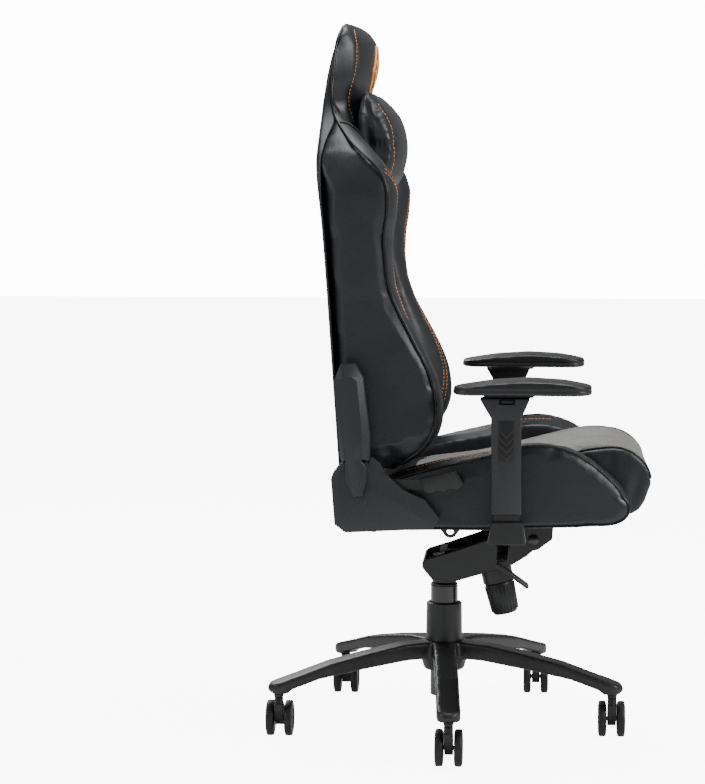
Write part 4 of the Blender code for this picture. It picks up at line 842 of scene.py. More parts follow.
def back_padding():
    """The wings, from their CAD solids, swollen and creased."""
    size = sizes()
    nodes = frame["nodes"]
    wing_cad, centre_cad = skin(nodes["back_wing_R"]), skin(nodes["back_cushion"])
    edge = [(x + AXIS_X, z) for x, _, z in BACK_PIPING[:19]]

    def wing_rule(p):
        wide, z = abs(p.y), min(max(p.z, 0.5005), 1.122)
        half = along_height(BACK_HALF, z)[0]
        row = -min(0.20, half - 0.006)
        front = front_of(wing_cad, row, z).x
        rear = cast(wing_cad, (-1.0, row, z), (1, 0, 0)).x
        depth = min(max((p.x - rear) / max(front - rear, 0.004), 0.0), 1.0)
        outer = min(along_height(edge, z)[0], front)
        inner = min(front_of(centre_cad, 0.0, min(max(z, 0.502), 1.25)).x + 0.006, front)
        outside = min(max((wide - half + 0.047) / 0.045, 0.0), 1.0)
        inside = min(max((0.212 - wide) / 0.061, 0.0), 1.0) * (1 - between(z, 1.03, 1.08))
        drop = max((front - outer) * outside ** 2.2, (front - inner) * inside ** 1.7)
        end = smooth_row(SIDE_END, z) + AXIS_X
        strip = between(wide, half - 0.046, half - 0.040)
        back = rear - max(rear - end, 0.0) * strip
        ease = shoulder(z) / half
        return Vector((back + depth * (front - drop - back),
                       p.y * (1 + (ease - 1) * min(1.0, (wide / half) ** 2)), p.z))

    wing = voxels("back_wing_cover_R", "back_wing_R", size.voxel)
    shaped(wing, wing_rule)
    smoothed(wing, 3)
    swollen(wing, 0.006, lambda p: abs(p.y) < 0.156)
    smoothed(wing, 1)
    divided(wing)

    def wing_bound(p):
        limit = shoulder(p.z) + 0.0010
        return Vector((p.x, min(max(p.y, -limit), -0.1500), p.z))

    shaped(wing, wing_bound)
    tree = skin(wing)
    double = [[(0.190, 0.585), (0.196, 0.640), (0.200, 0.700), (0.203, 0.780), (0.204, 0.860),
               (0.206, 0.920), (0.212, 0.965), (0.225, 0.998), (0.240, 1.018)],
              [(0.183, 0.585), (0.189, 0.640), (0.193, 0.700), (0.196, 0.780), (0.197, 0.860),
               (0.199, 0.922), (0.205, 0.970), (0.218, 1.006), (0.233, 1.027)]]
    seams = []
    for row in double:
        hits = [front_of(tree, -y, z) for y, z in row]
        seams.append([h for h in hits if h])
    middle = [(a + b) / 2 for a, b in zip(*seams)]
    grooved(wing, middle, 0.010, 0.0018)
    tree = skin(wing)
    other = mirror_copy(wing, "back_wing_cover_L")
    trees = {"R": tree, "L": skin(other)}
    for side, obj in (("R", wing), ("L", other)):
        settle(obj, "backrest", "leather", "leather", "back_wing_" + side)
    for side, sign in SIDES:
        for index, seam in enumerate(seams):
            route = [Vector((p.x, p.y * -sign, p.z)) for p in seam]
            sewn(f"back_wing_stitches_{index + 1}_{side}", route, "backrest", trees[side])
    return trees


def centre_padding():
    size = sizes()
    centre_cad = skin(frame["nodes"]["back_cushion"])

    def centre_rule(p):
        wide, z = abs(p.y), p.z
        hit = front_of(centre_cad, 0.0, min(max(z, 0.500), 1.270))
        back = cast(centre_cad, (-1.0, 0.0, min(max(z, 0.500), 1.270)), (1, 0, 0))
        front, rear = hit.x, back.x
        depth = min(max((p.x - rear) / max(front - rear, 0.01), 0.0), 1.0)
        head = between(z, 1.08, 1.15)
        body_front = front - 0.010 * (wide / 0.15) ** 4 + 0.004 * math.cos(wide * 42.0)
        round_front = front + 0.003 - 0.026 * (wide / 0.12) ** 2
        round_front -= 0.030 * between(wide, 0.118, 0.150)
        target = body_front + head * (round_front - body_front)
        edge = min(along_height(BACK_HALF, z)[0] - wide, 1.277 - z)
        end = smooth_row(FLANK_END, z, 0.008) + AXIS_X
        rear_to = rear - max(rear - end, 0.0) * head * (1.0 - between(edge, 0.024, 0.032))
        top = 0.0085 * between(z, 1.21, 1.265)
        target += 0.004 * between(z, 1.22, 1.26)
        foot = 0.010 * (1.0 - between(z, 0.500, 0.535))
        return Vector((rear_to + depth * (target - rear_to), p.y, z + top - foot))

    centre = voxels("back_centre_cover", "back_cushion", size.voxel)
    shaped(centre, centre_rule)
    smoothed(centre, 3)
    swollen(centre, 0.006, lambda p: p.z < 0.495)
    smoothed(centre, 1)
    divided(centre)
    shaped(centre, lambda p: Vector((p.x, min(max(p.y, -0.1505), 0.1505), p.z)))
    tree = skin(centre)
    for side, sign in SIDES:
        rows = [(0.110, 1.105), (0.115, 1.150), (0.119, 1.190), (0.116, 1.230),
                (0.106, 1.255), (0.088, 1.268)]
        route = [front_of(tree, sign * y, z) for y, z in rows]
        grooved(centre, route, 0.008, 0.0016)
    for sign in (-1, 1):
        channel = [front_of(tree, sign * 0.070, z) for z in
                   (0.520, 0.600, 0.700, 0.800, 0.900, 0.980)]
        grooved(centre, channel, 0.012, 0.0035)
    tree = skin(centre)
    settle(centre, "backrest", "leather", "leather", "back_cushion")
    for side, sign in SIDES:
        route = [front_of(tree, sign * y, z) for y, z in rows]
        sewn("head_stitches_" + side, route, "backrest", tree)
    return tree


class CHAIR_OT_back(bpy.types.Operator):
    """Upholster the back: wings, centre, rear panel, piping and stitching"""
    bl_idname = "chair.back"
    bl_label = "Back upholstery"

    def execute(self, context):
        wings = back_padding()
        centre = centre_padding()
        rear = divided(from_bmesh("back_rear_panel", lofted(rear_panel())))
        settle(rear, "backrest", "leather", "leather", "back_cover")
        for side, sign in SIDES:
            route = [place(x, sign * y, z) for x, y, z in BACK_PIPING]
            shell = skin(rear)
            made = []
            for spot in resampled(route, 0.005):
                near, normal, _, _ = wings[side].find_nearest(spot)
                low = spot.lerp(near + normal * sizes().piping * 0.5, 0.85)
                hits = [cast(tree, (spot.x + step, sign * 0.5, min(spot.z, 1.272)),
                             (0, -sign, 0)) for tree in (wings[side], shell, centre)
                        for step in (-0.004, 0.0, 0.004)]
                reach = max([abs(h.y) for h in hits if h] + [abs(spot.y)])
                reach = min(reach, abs(spot.y) + 0.006)
                high = Vector((spot.x, sign * (reach + 0.0008), spot.z))
                crown, outward, _, _ = shell.find_nearest(spot + Vector((0.002, 0, 0.002)))
                crown += outward * 0.0006
                made.append(low.lerp(high, between(spot.z, 1.000, 1.050)) if spot.z < 1.2
                            else high.lerp(crown, between(spot.z, 1.235, 1.262)))
            for _ in range(4):
                made = [made[0]] + [(a + b * 2 + c) / 4 for a, b, c in
                                    zip(made, made[1:], made[2:])] + [made[-1]]
            arch = [place(x, sign * y, z) for x, y, z in NECK_ARCH]
            piped("neck_piping_" + side, arch, "backrest", wings[side])
            cord = cord_mesh("back_piping_" + side, made, sizes().piping * 1.25)
            settle(cord, "backrest", "piping", "leather")
        return {"FINISHED"}


class CHAIR_OT_motif(bpy.types.Operator):
    """Embroider a generic chevron motif on the head rest"""
    bl_idname = "chair.motif"
    bl_label = "Head rest motif"

    def execute(self, context):
        tree = skin(bpy.data.objects["back_centre_cover"])
        strokes = [
            [(-0.024, 1.240), (0.024, 1.240), (0.046, 1.196), (0.024, 1.150), (-0.024, 1.150),
             (-0.046, 1.196), (-0.024, 1.240)],
            [(-0.026, 1.216), (0.0, 1.190), (0.026, 1.216)],
            [(-0.026, 1.198), (0.0, 1.172), (0.026, 1.198)]]
        pieces = []
        for index, stroke in enumerate(strokes):
            corners = [Vector((0.0, y, z)) for y, z in stroke]
            route = []
            for a, b in zip(corners, corners[1:]):
                parts = max(2, int((b - a).length / 0.003))
                route += [a.lerp(b, k / parts) for k in range(parts)]
            route.append(corners[-1])
            hits = [front_of(tree, p.y, p.z) for p in route]
            spots = [h + Vector((0.0002, 0, 0)) for h in hits if h]
            pieces.append(cord_mesh(f"head_motif_{index + 1}", spots, 0.0028, sides=2))
        for piece in pieces:
            settle(piece, "backrest", "motif", "leather")
        return {"FINISHED"}


class CHAIR_OT_pillow(bpy.types.Operator):
    """Make the head pillow, with its side gussets, pleats and stitching"""
    bl_idname = "chair.pillow"
    bl_label = "Head pillow"

    def execute(self, context):
        low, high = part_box("head_pillow")
        half = high[1]
        fold_z = 1.066
        cad = skin(frame["nodes"]["head_pillow"])
        pillow = voxels("head_pillow_cover", "head_pillow", 0.0045)

        def rule(p):
            wide = abs(p.y)
            rear = cast(cad, (-1.0, 0.0, min(max(p.z, low[2] + 0.002), high[2] - 0.002)), (1, 0, 0))
            hit = front_of(cad, 0.0, min(max(p.z, low[2] + 0.002), high[2] - 0.002))
            depth = min(max((p.x - rear.x) / max(hit.x - rear.x, 0.004), 0.0), 1.0)
            crown = 0.020 * (wide / half) ** 2.2
            x = p.x - depth * crown * min(1.0, (hit.x - rear.x) / 0.05)
            pinch = between(wide, half - 0.030, half) * (1.0 - abs(p.z - fold_z) / 0.12)
            return Vector((x, p.y * (1.0 - 0.012 * pinch), p.z))

        shaped(pillow, rule)
        smoothed(pillow, 2)
        swollen(pillow, 0.007, lambda p: p.x < low[0] + 0.006)
        smoothed(pillow, 1)
        divided(pillow)
        tree = skin(pillow)
        for side, sign in SIDES:
            seam = [cast(tree, (x, sign * 0.5, z), (0, -sign, 0)) for x, z in (
                (-0.163, 1.150), (-0.160, 1.110), (-0.158, 1.066), (-0.156, 1.020),
                (-0.155, 0.995))]
            seam = [h for h in seam if h]
            if len(seam) > 2:
                grooved(pillow, seam, 0.012, 0.0035)
            for rise, depth in ((0.0, 0.0032), (0.019, 0.0012), (-0.020, 0.0014)):
                pleat = [cast(tree, (x, sign * 0.5, fold_z + rise * t), (0, -sign, 0))
                         for x, t in ((-0.156, 0.1), (-0.140, 0.5), (-0.124, 0.8), (-0.112, 1.0))]
                pleat = [h for h in pleat if h]
                if len(pleat) > 2:
                    grooved(pillow, pleat, 0.011, depth)
        tree = skin(pillow)
        settle(pillow, "head_pillow", "leather", "leather", "head_pillow")
        for side, sign in SIDES:
            rows = [(0.120, 1.137), (0.119, 1.118), (0.118, 1.095), (0.118, 1.066),
                    (0.118, 1.035), (0.119, 1.008)]
            route = [h for h in (front_of(tree, sign * y, z) for y, z in rows) if h]
            sewn("pillow_stitches_" + side, route, "head_pillow", tree)
        return {"FINISHED"}


# ---------------------------------------------------------------- the seat
def girth(obj, middle):
    """Write each point's place across the seat and round its section, in metres."""
    tree = skin(obj)
    rays = 180
    ring = []
    for step in range(rays + 1):
        angle = math.tau * step / rays - math.pi
        hit = cast(tree, middle, (math.cos(angle), 0, math.sin(angle)))
        ring.append(hit if hit else ring[-1])
    length = [0.0]
    for a, b in zip(ring, ring[1:]):
        length.append(length[-1] + (b - a).length)
    mesh = obj.data
    layer = mesh.attributes.new("girth", "FLOAT_VECTOR", "POINT")
    for index, vertex in enumerate(mesh.vertices):
        turn = math.atan2(vertex.co.z - middle[2], vertex.co.x - middle[0]) + math.pi
        spot = turn / math.tau * rays
        low = min(int(spot), rays - 1)
        run = length[low] + (length[low + 1] - length[low]) * (spot - low)
        layer.data[index].vector = (vertex.co.y, run, 0.0)


class CHAIR_OT_seat(bpy.types.Operator):
    """Upholster the seat: centre panel, bolsters, piping and stitching"""
    bl_idname = "chair.seat"
    bl_label = "Seat upholstery"

    def execute(self, context):
        size = sizes()
        low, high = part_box("seat_cushion")
        half = high[1]
        seat = voxels("seat_cushion_cover", "seat_cushion", size.voxel)

        def slim(p):
            rise = between(p.z, low[2], low[2] + 0.02)
            dish = 0.006 * math.cos(p.y / half * math.pi / 2) - 0.004
            return Vector((p.x - 0.002 * rise, p.y * (1 - 0.012 * rise), p.z + dish * rise))

        shaped(seat, slim)
        smoothed(seat, 2)
        swollen(seat, 0.006, lambda p: p.z < low[2] + 0.004)
        smoothed(seat, 1)
        divided(seat)
        shaped(seat, lambda p: Vector((p.x, min(max(p.y, -half - 0.0004), half + 0.0004),
                                       max(p.z, low[2] - 0.0002))))
        tree = skin(seat)
        panel_half = 0.155
        front_z = 0.486
        # the panel's border: up each side, down the nose and across its front
        xs = [-0.090, -0.040, 0.020, 0.080, 0.140, 0.200, 0.250, 0.300, 0.330, 0.350]
        border = {}
        for side, sign in SIDES:
            route = [top_of(tree, x + AXIS_X, sign * panel_half) for x in xs]
            route += [front_of(tree, sign * panel_half, z) for z in (0.512, 0.500, front_z)]
            border[side] = [h for h in route if h]
        across = [front_of(tree, y, front_z) for y in
                  (-panel_half, -0.10, -0.05, 0.0, 0.05, 0.10, panel_half)]
        loop = border["R"] + across[1:-1] + list(reversed(border["L"]))
        grooved(seat, loop, 0.009, 0.002)
        for sign in (-1, 1):
            channel = [top_of(tree, x + AXIS_X, sign * 0.075) for x in xs[:-2]]
            grooved(seat, channel, 0.010, 0.0022)
        girth(seat, (AXIS_X + 0.12, 0.0, 0.455))
        seat.data.materials.clear()
        seat.data.materials.append(finish("leather"))
        seat.data.materials.append(finish("panel"))
        for face in seat.data.polygons:
            spot = face.center
            upper = spot.z > front_z and (spot.x > 0.28 or face.normal.z > 0.3)
            if abs(spot.y) < panel_half and upper:
                face.material_index = 1
        settle(seat, "seat", None, "seat_leather", "seat_cushion")
        piped("seat_panel_piping", loop, "seat", skin(seat))

        bolster = voxels("seat_bolster_cover_R", "seat_bolster_R", size.voxel)
        box_low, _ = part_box("seat_bolster_R")

        def lean(p):
            """The inner shoulder slopes down towards the centre panel."""
            share = between(-p.y, 0.169, 0.235)
            rise = between(p.z, 0.46, 0.55)
            drop = 0.016 * (1 - share) * rise
            return Vector((p.x, p.y, p.z - drop))

        shaped(bolster, lean)
        smoothed(bolster, 3)
        swollen(bolster, 0.006, lambda p: p.y > -0.174 or p.z < box_low[2] + 0.004)
        smoothed(bolster, 1)
        divided(bolster)
        shaped(bolster, lambda p: Vector((p.x, min(max(p.y, -0.2590), -0.1688), p.z)))
        tree = skin(bolster)
        row = [top_of(tree, x + AXIS_X, -y) for x, y in (
            (-0.060, 0.213), (-0.010, 0.211), (0.040, 0.208), (0.090, 0.204), (0.130, 0.202),
            (0.170, 0.206), (0.200, 0.214))]
        row = [h for h in row if h]
        grooved(bolster, row, 0.009, 0.0016)
        outline = [
            (-0.088, 0.492), (-0.040, 0.508), (0.020, 0.523), (0.087, 0.539), (0.120, 0.549),
            (0.147, 0.556), (0.180, 0.558), (0.217, 0.550), (0.259, 0.529), (0.296, 0.497),
            (0.318, 0.466), (0.326, 0.443), (0.317, 0.427), (0.289, 0.417), (0.200, 0.411),
            (0.100, 0.408), (0.000, 0.407), (-0.086, 0.407)]
        other = mirror_copy(bolster, "seat_bolster_cover_L")
        for side, sign, obj in (("R", -1, bolster), ("L", 1, other)):
            tree = skin(obj)
            settle(obj, "seat", "leather", "leather", "seat_bolster_" + side)
            route = [Vector((p.x, p.y * -sign, p.z)) for p in row]
            sewn("seat_stitches_" + side, route, "seat", tree)
            edge = [place(x, sign * 0.2540, z) for x, z in outline]
            piped("seat_piping_" + side, edge, "seat", tree, closed=True)
        return {"FINISHED"}


# ---------------------------------------------------------------- hinge covers and levers
class CHAIR_OT_recliner(bpy.types.Operator):
    """Finish the recliner's covers, plates and lever"""
    bl_idname = "chair.recliner"
    bl_label = "Recliner"

    def execute(self, context):
        for side, sign in SIDES:
            eased("hinge_cover_shell_" + side, "hinge_cover_" + side, 0.0010, "seat", "cover",
                  "covers")
            eased("back_arm_shell_" + side, "back_arm_cover_" + side, 0.0010, "backrest",
                  "cover", "covers")
            eased("recline_plate_" + side, "recline_bracket_" + side, 0.0006, "seat", "powder",
                  "black_steel")
            eased("back_plate_" + side, "back_hinge_plate_" + side, 0.0006, "backrest",
                  "powder", "black_steel")
            face = sign * abs(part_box("hinge_cover_R")[0][1])
            disc = lathed([(0.0, 0.0008), (0.0066, 0.0008), (0.0072, 0.0002), (0.0072, -0.0015),
                           (0.0, -0.0015)], place(-0.131, face, 0.452), "Y", 32)
            if sign < 0:
                bmesh.ops.scale(disc, vec=(1, -1, 1), verts=disc.verts,
                                space=Matrix.Translation((0, -face, 0)))
                bmesh.ops.recalc_face_normals(disc, faces=disc.faces)
            settle(from_bmesh("hinge_cap_" + side, disc), "seat", "cover", "covers")
        eased("recline_bar", "recline_lever_bar", 0.0006, "recline_lever", "powder",
              "bright_steel")
        eased("recline_grip", "recline_lever_grip", 0.0012, "recline_lever", "satin",
              "satin_plastic")
        return {"FINISHED"}


# ---------------------------------------------------------------- armrests
class CHAIR_OT_armrests(bpy.types.Operator):
    """Finish the armrests: posts, sleeves with chevron inserts, buttons and pads"""
    bl_idname = "chair.armrests"
    bl_label = "Armrests"

    def execute(self, context):
        for side, sign in SIDES:
            eased("arm_upright_" + side, "arm_post_" + side, 0.0008, "seat", "powder",
                  "black_steel")
            eased("arm_trim_" + side, "arm_foot_trim_" + side, 0.0012, "seat", "satin",
                  "satin_plastic")
            eased("arm_housing_" + side, "arm_sleeve_" + side, 0.0010, "arm_sleeve_" + side,
                  "arm", "arm_plastic")
            eased("arm_trigger_" + side, "arm_button_" + side, 0.0008, "arm_button_" + side,
                  "satin", "satin_plastic")
            eased("arm_plate_" + side, "arm_swivel_plate_" + side, 0.0006,
                  "arm_swivel_" + side, "powder", "black_steel")
            self.insert(side, sign)
            self.pad(side)
        return {"FINISHED"}

    def insert(self, side, sign):
        """A dark panel with four raised chevrons on the sleeve's outer face."""
        low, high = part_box("arm_sleeve_" + side)
        face = low[1] if sign < 0 else high[1]
        middle = AXIS_X + 0.1150
        half, top, foot = 0.0132, 0.6010, 0.5350
        outline = [(middle - half, top), (middle - half, foot)]
        for step in range(1, 12):
            angle = math.pi + math.pi * step / 12
            outline.append((middle + half * math.cos(angle), foot + half * math.sin(angle)))
        outline += [(middle + half, foot), (middle + half, top)]
        ends = sorted((face, face + sign * 0.0009))
        plate = eased_edges(prism(outline, *ends), 0.0004, 2, 50)
        settle(from_bmesh("arm_insert_" + side, plate), "arm_sleeve_" + side, "satin",
               "satin_plastic")
        bars = []
        for step in range(4):
            tip = top - 0.0300 - 0.0125 * step
            arm, thick = half - 0.0016, 0.0040
            shape = [(middle, tip), (middle + arm, tip + 0.0125), (middle + arm, tip + 0.0125
                     + thick), (middle, tip + thick), (middle - arm, tip + 0.0125 + thick),
                     (middle - arm, tip + 0.0125)]
            ends = sorted((face + sign * 0.0008, face + sign * 0.0024))
            bars.append(eased_edges(prism(shape, *ends), 0.0005, 2, 40))
        settle(from_bmesh("arm_chevrons_" + side, joined(bars)), "arm_sleeve_" + side, "arm",
               "arm_plastic")

    def pad(self, side):
        low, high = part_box("arm_pad_" + side)
        pad = voxels("arm_pad_cover_" + side, "arm_pad_" + side, 0.0032)
        middle_y = (low[1] + high[1]) / 2
        reach = (high[0] - low[0]) / 2
        middle_x = (low[0] + high[0]) / 2

        def rule(p):
            rise = (p.z - low[2]) / (high[2] - low[2])
            end = abs(p.x - middle_x) / reach
            wide = abs(p.y - middle_y) / ((high[1] - low[1]) / 2)
            drop = 0.0035 * wide ** 2.5 + 0.003 * end ** 4
            return Vector((p.x, p.y, p.z - drop * rise))

        shaped(pad, rule)
        smoothed(pad, 3)
        divided(pad)
        part_line = low[2] + 0.0090
        pad_skin, points, turns = skin(pad), [], 48
        for step in range(turns):
            angle = math.tau * step / turns
            out_x, out_y = math.cos(angle), math.sin(angle)
            spot = cast(pad_skin, (middle_x + 2 * out_x, middle_y + 2 * out_y, part_line),
                        (-out_x, -out_y, 0))
            if spot:
                points.append(spot)
        grooved(pad, points + points[:1], 0.0032, 0.0011)
        pad.data.materials.clear()
        pad.data.materials.append(finish("foam"))
        pad.data.materials.append(finish("arm"))
        for face in pad.data.polygons:
            if face.center.z < part_line:
                face.material_index = 1
        settle(pad, "arm_pad_" + side, None, "pad_foam", "arm_pad_" + side)


# ---------------------------------------------------------------- base, casters and column
class CHAIR_OT_base(bpy.types.Operator):
    """Cast star base with soft fillets, painted black"""
    bl_idname = "chair.base"
    bl_label = "Star base"

    def execute(self, context):
        star = voxels("star_casting", "base_star", 0.0030)
        smoothed(star, 7)
        star.data.shade_smooth()
        settle(star, "base", "paint", "cast_metal", "base_star")
        return {"FINISHED"}


def wheel_profile(inner, outer, radius):
    """The body of one wheel, then its tread."""
    body = [(0.0, outer - 0.0062), (0.0070, outer - 0.0060), (0.0082, outer - 0.0036),
            (0.0190, outer - 0.0030), (0.0205, outer - 0.0012), (radius - 0.0062, outer - 0.0008),
            (radius - 0.0034, outer - 0.0022), (radius - 0.0034, inner + 0.0018),
            (radius - 0.0050, inner + 0.0006), (0.0060, inner + 0.0006), (0.0060, inner),
            (0.0, inner)]
    tread = [(radius - 0.0036, outer - 0.0016), (radius - 0.0012, outer - 0.0020),
             (radius - 0.0002, outer - 0.0042), (radius, (outer + inner) / 2),
             (radius - 0.0002, inner + 0.0042), (radius - 0.0012, inner + 0.0018),
             (radius - 0.0036, inner + 0.0012)]
    return body, tread


class CHAIR_OT_casters(bpy.types.Operator):
    """Twin wheels with hubs and treads, forks and stems"""
    bl_idname = "chair.casters"
    bl_label = "Casters"

    def execute(self, context):
        for number in range(1, 6):
            low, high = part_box(f"caster_wheels_{number}")
            spot = [(a + b) / 2 for a, b in zip(low, high)]
            radius = (high[2] - low[2]) / 2
            outer = (high[0] - low[0]) / 2
            body, tread = wheel_profile(0.0088, outer, radius)
            hubs, treads = [], []
            for sign in (1, -1):
                for profile, made in ((body, hubs), (tread, treads)):
                    shape = lathed([(r, h * sign) for r, h in profile], spot, "X", 40)
                    made.append(shape)
            pin = lathed([(0.0, 0.012), (0.0039, 0.012), (0.0039, -0.012), (0.0, -0.012)],
                         spot, "X", 20)
            settle(from_bmesh(f"wheel_bodies_{number}", joined(hubs), 40),
                   f"caster_wheels_{number}", "nylon", "tread", f"caster_wheels_{number}")
            settle(from_bmesh(f"wheel_treads_{number}", joined(treads), 40),
                   f"caster_wheels_{number}", "rubber", "tread")
            settle(from_bmesh(f"wheel_axle_{number}", pin), f"caster_wheels_{number}", "steel",
                   "bright_steel")
            eased(f"fork_{number}", f"caster_fork_{number}", 0.0010, f"caster_fork_{number}",
                  "nylon", "moulded_nylon")
            fork_low, fork_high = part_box(f"caster_fork_{number}")
            stem_x = (fork_low[0] + fork_high[0]) / 2
            stem_y = spot[1] - 0.020
            collar = lathed([(0.0057, 0.0832), (0.0086, 0.0826), (0.0092, 0.0800),
                             (0.0084, 0.0762), (0.0057, 0.0758)], (stem_x, stem_y, 0.0), "Z", 32)
            settle(from_bmesh(f"stem_collar_{number}", collar), f"caster_fork_{number}",
                   "nylon", "moulded_nylon")
        return {"FINISHED"}


class CHAIR_OT_column(bpy.types.Operator):
    """Gas column, its cover and the pieces inside it"""
    bl_idname = "chair.column"
    bl_label = "Gas column"

    def execute(self, context):
        pieces = (("tube_shell", "gas_outer_tube", "base", "tube", "column_paint"),
                  ("column_sleeve", "column_cover", "base", "satin", "satin_plastic"),
                  ("column_guide", "guide_bushing", "base", "satin", "satin_plastic"),
                  ("lift_cylinder", "gas_cylinder", "mechanism", "tube", "column_paint"))
        for name, node, body, look, slot in pieces:
            eased(name, node, 0.0006, body, look, slot)
        for node in ("thrust_bearing", "piston_rod", "rod_clip", "release_pin"):
            paint_node(node, "steel")
        return {"FINISHED"}


def paint_node(node, look):
    """Give a CAD node that keeps its own shape a finished material."""
    mesh = frame["nodes"][node].data
    mesh.materials.clear()
    mesh.materials.append(finish(look))


# ---------------------------------------------------------------- mechanism and frames
class CHAIR_OT_mechanism(bpy.types.Operator):
    """Tilt mechanism, tension knob, levers and the seat's steel"""
    bl_idname = "chair.mechanism"
    bl_label = "Mechanism"

    def execute(self, context):
        eased("mechanism_case", "mech_body", 0.0012, "mechanism", "powder", "black_steel")
        eased("mechanism_plate", "mech_top_plate", 0.0006, "seat", "powder", "black_steel")
        eased("tilt_bolt", "tilt_pivot_bolt", 0.0006, "mechanism", "tube", "black_steel")
        eased("lever_pivot_block", "lever_block", 0.0006, "lever_block", "powder",
              "black_steel")
        eased("lever_strap", "height_lever", 0.0006, "height_lever", "powder", "black_steel")
        eased("lever_tip", "lever_paddle", 0.0010, "height_lever", "satin", "satin_plastic")
        paint_node("tension_spring", "steel")
        for node in ("seat_frame", "back_frame"):
            paint_node(node, "powder")
        paint_node("seat_pan", "webbing")
        self.knob()
        self.bolts()
        return {"FINISHED"}

    def knob(self):
        """Ribbed grip: a lathed body with ribs standing round it."""
        foot, tilt = place(0.1130, 0.0, 0.2130), math.radians(12.9)
        profile = [(0.0, 0.1045), (0.0038, 0.1045), (0.0038, 0.0600), (0.0225, 0.0600),
                   (0.0258, 0.0585), (0.0268, 0.0560), (0.0262, 0.0250), (0.0255, 0.0180),
                   (0.0235, 0.0050), (0.0205, 0.0008), (0.0150, 0.0), (0.0, 0.0)]
        body = lathed(profile, (0, 0, 0), "Z", 56)
        shapes = [body]
        for step in range(26):
            rib = bmesh.new()
            bmesh.ops.create_cube(rib, size=1.0)
            bmesh.ops.transform(rib, matrix=Matrix.Diagonal((0.0034, 0.0030, 0.0480, 1.0)),
                                verts=rib.verts)
            for vert in rib.verts:
                if vert.co.z < 0:
                    vert.co.x -= 0.0026
            bmesh.ops.translate(rib, vec=(0.0263, 0, 0.0300), verts=rib.verts)
            bmesh.ops.rotate(rib, cent=(0, 0, 0), matrix=Matrix.Rotation(
                math.tau * step / 26, 3, "Z"), verts=rib.verts)
            shapes.append(eased_edges(rib, 0.0009, 2))
        whole = joined(shapes)
        whole.transform(Matrix.Translation(foot) @ Matrix.Rotation(-tilt, 4, "Y"))
        settle(from_bmesh("tension_grip", whole), "tension_knob", "satin", "satin_plastic",
               "tension_knob")

    def bolts(self):
        """Hexagon bolts that hold the mechanism plate and the armrests to the seat frame."""
        def bolt(x, y, z):
            shape = lathed([(0.0, 0.0), (0.0095, 0.0), (0.0095, -0.0012), (0.0, -0.0012)],
                           place(x, y, z), "Z", 24)
            head = bmesh.new()
            bmesh.ops.create_cone(head, cap_ends=True, segments=6, radius1=0.0058,
                                  radius2=0.0062, depth=0.0045,
                                  matrix=Matrix.Translation(place(x, y, z - 0.0034)))
            return joined([shape, eased_edges(head, 0.0005, 1)])

        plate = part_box("mech_top_plate")
        z = plate[1][2] - 0.0032
        spots = [(x, y) for x in (0.000, 0.060, 0.125) for y in (-0.0860, 0.0860)]
        settle(from_bmesh("plate_bolts", joined([bolt(x, y, z) for x, y in spots])), "seat",
               "steel", "bright_steel")
        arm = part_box("arm_post_R")[0][2] - 0.0002
        for side, sign in SIDES:
            heads = [bolt(0.116, sign * y, arm) for y in (0.160, 0.200, 0.240)]
            settle(from_bmesh("arm_bolts_" + side, joined(heads)), "seat", "steel",
                   "bright_steel")


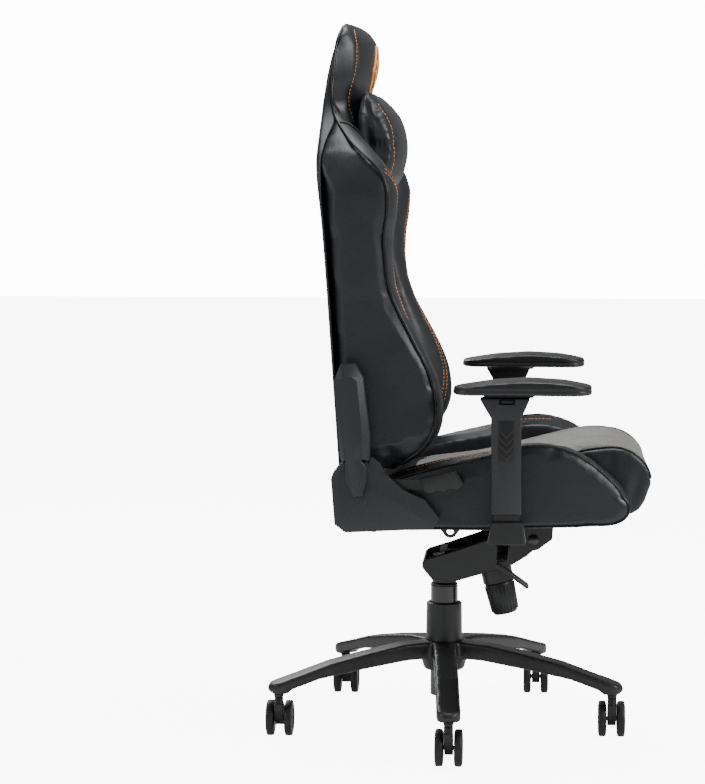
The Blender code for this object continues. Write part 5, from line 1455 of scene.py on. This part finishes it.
# ---------------------------------------------------------------- stage
class CHAIR_OT_stage(bpy.types.Operator):
    """Pale floor and backdrop, soft studio lights and the camera"""
    bl_idname = "chair.stage"
    bl_label = "Studio"

    def execute(self, context):
        scene = context.scene
        stage = scene.chair_stage
        bm = bmesh.new()
        bmesh.ops.create_grid(bm, x_segments=8, y_segments=8, size=14.0)
        floor = from_bmesh("studio_floor", bm)
        floor.data.materials.append(finish("paper"))

        camera = bpy.data.objects.new("camera", bpy.data.cameras.new("camera"))
        camera.data.sensor_fit = "VERTICAL"
        camera.data.sensor_height = 36.0
        camera.data.lens = stage.lens
        camera.data.clip_end = 60.0
        camera.location = (0.15327 + AXIS_X, -stage.distance, stage.height)
        camera.rotation_euler = (math.pi / 2 - stage.pitch, 0.0, stage.yaw)
        scene.collection.objects.link(camera)
        scene.camera = camera

        world = bpy.data.worlds.new("Studio")
        world.use_nodes = True
        tree = world.node_tree
        seen = add(tree, "ShaderNodeLightPath").outputs["Is Camera Ray"]
        strength = add(tree, "ShaderNodeMapRange", {
            "Value": seen, "To Min": stage.ambient, "To Max": stage.backdrop})
        background = tree.nodes["Background"]
        background.inputs["Color"].default_value = (1.0, 1.0, 1.0, 1.0)
        tree.links.new(strength.outputs["Result"], background.inputs["Strength"])
        scene.world = world

        lights = (("key", (2.8, -1.6, 2.4), 1.5, 120.0), ("fill", (-2.8, -2.0, 2.0), 1.5, 40.0),
                  ("top", (0.2, 0.2, 3.4), 1.8, 90.0), ("rim", (-1.4, 2.6, 2.4), 1.8, 60.0))
        for name, spot, width, power in lights:
            lamp = bpy.data.lights.new(name, "AREA")
            lamp.shape = "DISK"
            lamp.size = width
            lamp.energy = power
            obj = bpy.data.objects.new(name, lamp)
            obj.location = spot
            aim = Vector((0.0, 0.0, 0.65)) - Vector(spot)
            obj.rotation_euler = aim.to_track_quat("-Z", "Y").to_euler()
            scene.collection.objects.link(obj)
        return {"FINISHED"}


class CHAIR_PT_panel(bpy.types.Panel):
    """The chair's operators and settings"""
    bl_label = "Gaming chair"
    bl_idname = "CHAIR_PT_panel"
    bl_space_type = "VIEW_3D"
    bl_region_type = "UI"
    bl_category = "Chair"

    def draw(self, context):
        layout = self.layout
        for group in (context.scene.chair_sizes, context.scene.chair_colours,
                      context.scene.chair_stage):
            for key in group.bl_rna.properties.keys():
                if key not in ("rna_type", "name"):
                    layout.prop(group, key)
        for operator in OPERATORS:
            layout.operator(operator.bl_idname)


OPERATORS = (CHAIR_OT_stage, CHAIR_OT_back, CHAIR_OT_motif, CHAIR_OT_pillow, CHAIR_OT_seat,
             CHAIR_OT_recliner, CHAIR_OT_armrests, CHAIR_OT_base, CHAIR_OT_casters,
             CHAIR_OT_column, CHAIR_OT_mechanism)
CLASSES = (ChairSizes, ChairColours, ChairStage) + OPERATORS + (CHAIR_PT_panel,)


def register():
    for item in CLASSES:
        bpy.utils.register_class(item)
    bpy.types.Scene.chair_sizes = PointerProperty(type=ChairSizes)
    bpy.types.Scene.chair_colours = PointerProperty(type=ChairColours)
    bpy.types.Scene.chair_stage = PointerProperty(type=ChairStage)


def unregister():
    del bpy.types.Scene.chair_stage
    del bpy.types.Scene.chair_colours
    del bpy.types.Scene.chair_sizes
    for item in reversed(CLASSES):
        bpy.utils.unregister_class(item)


def main():
    register()
    for operator in OPERATORS:
        group, name = operator.bl_idname.split(".")
        getattr(getattr(bpy.ops, group), name)()


if __name__ == "__main__":
    main()
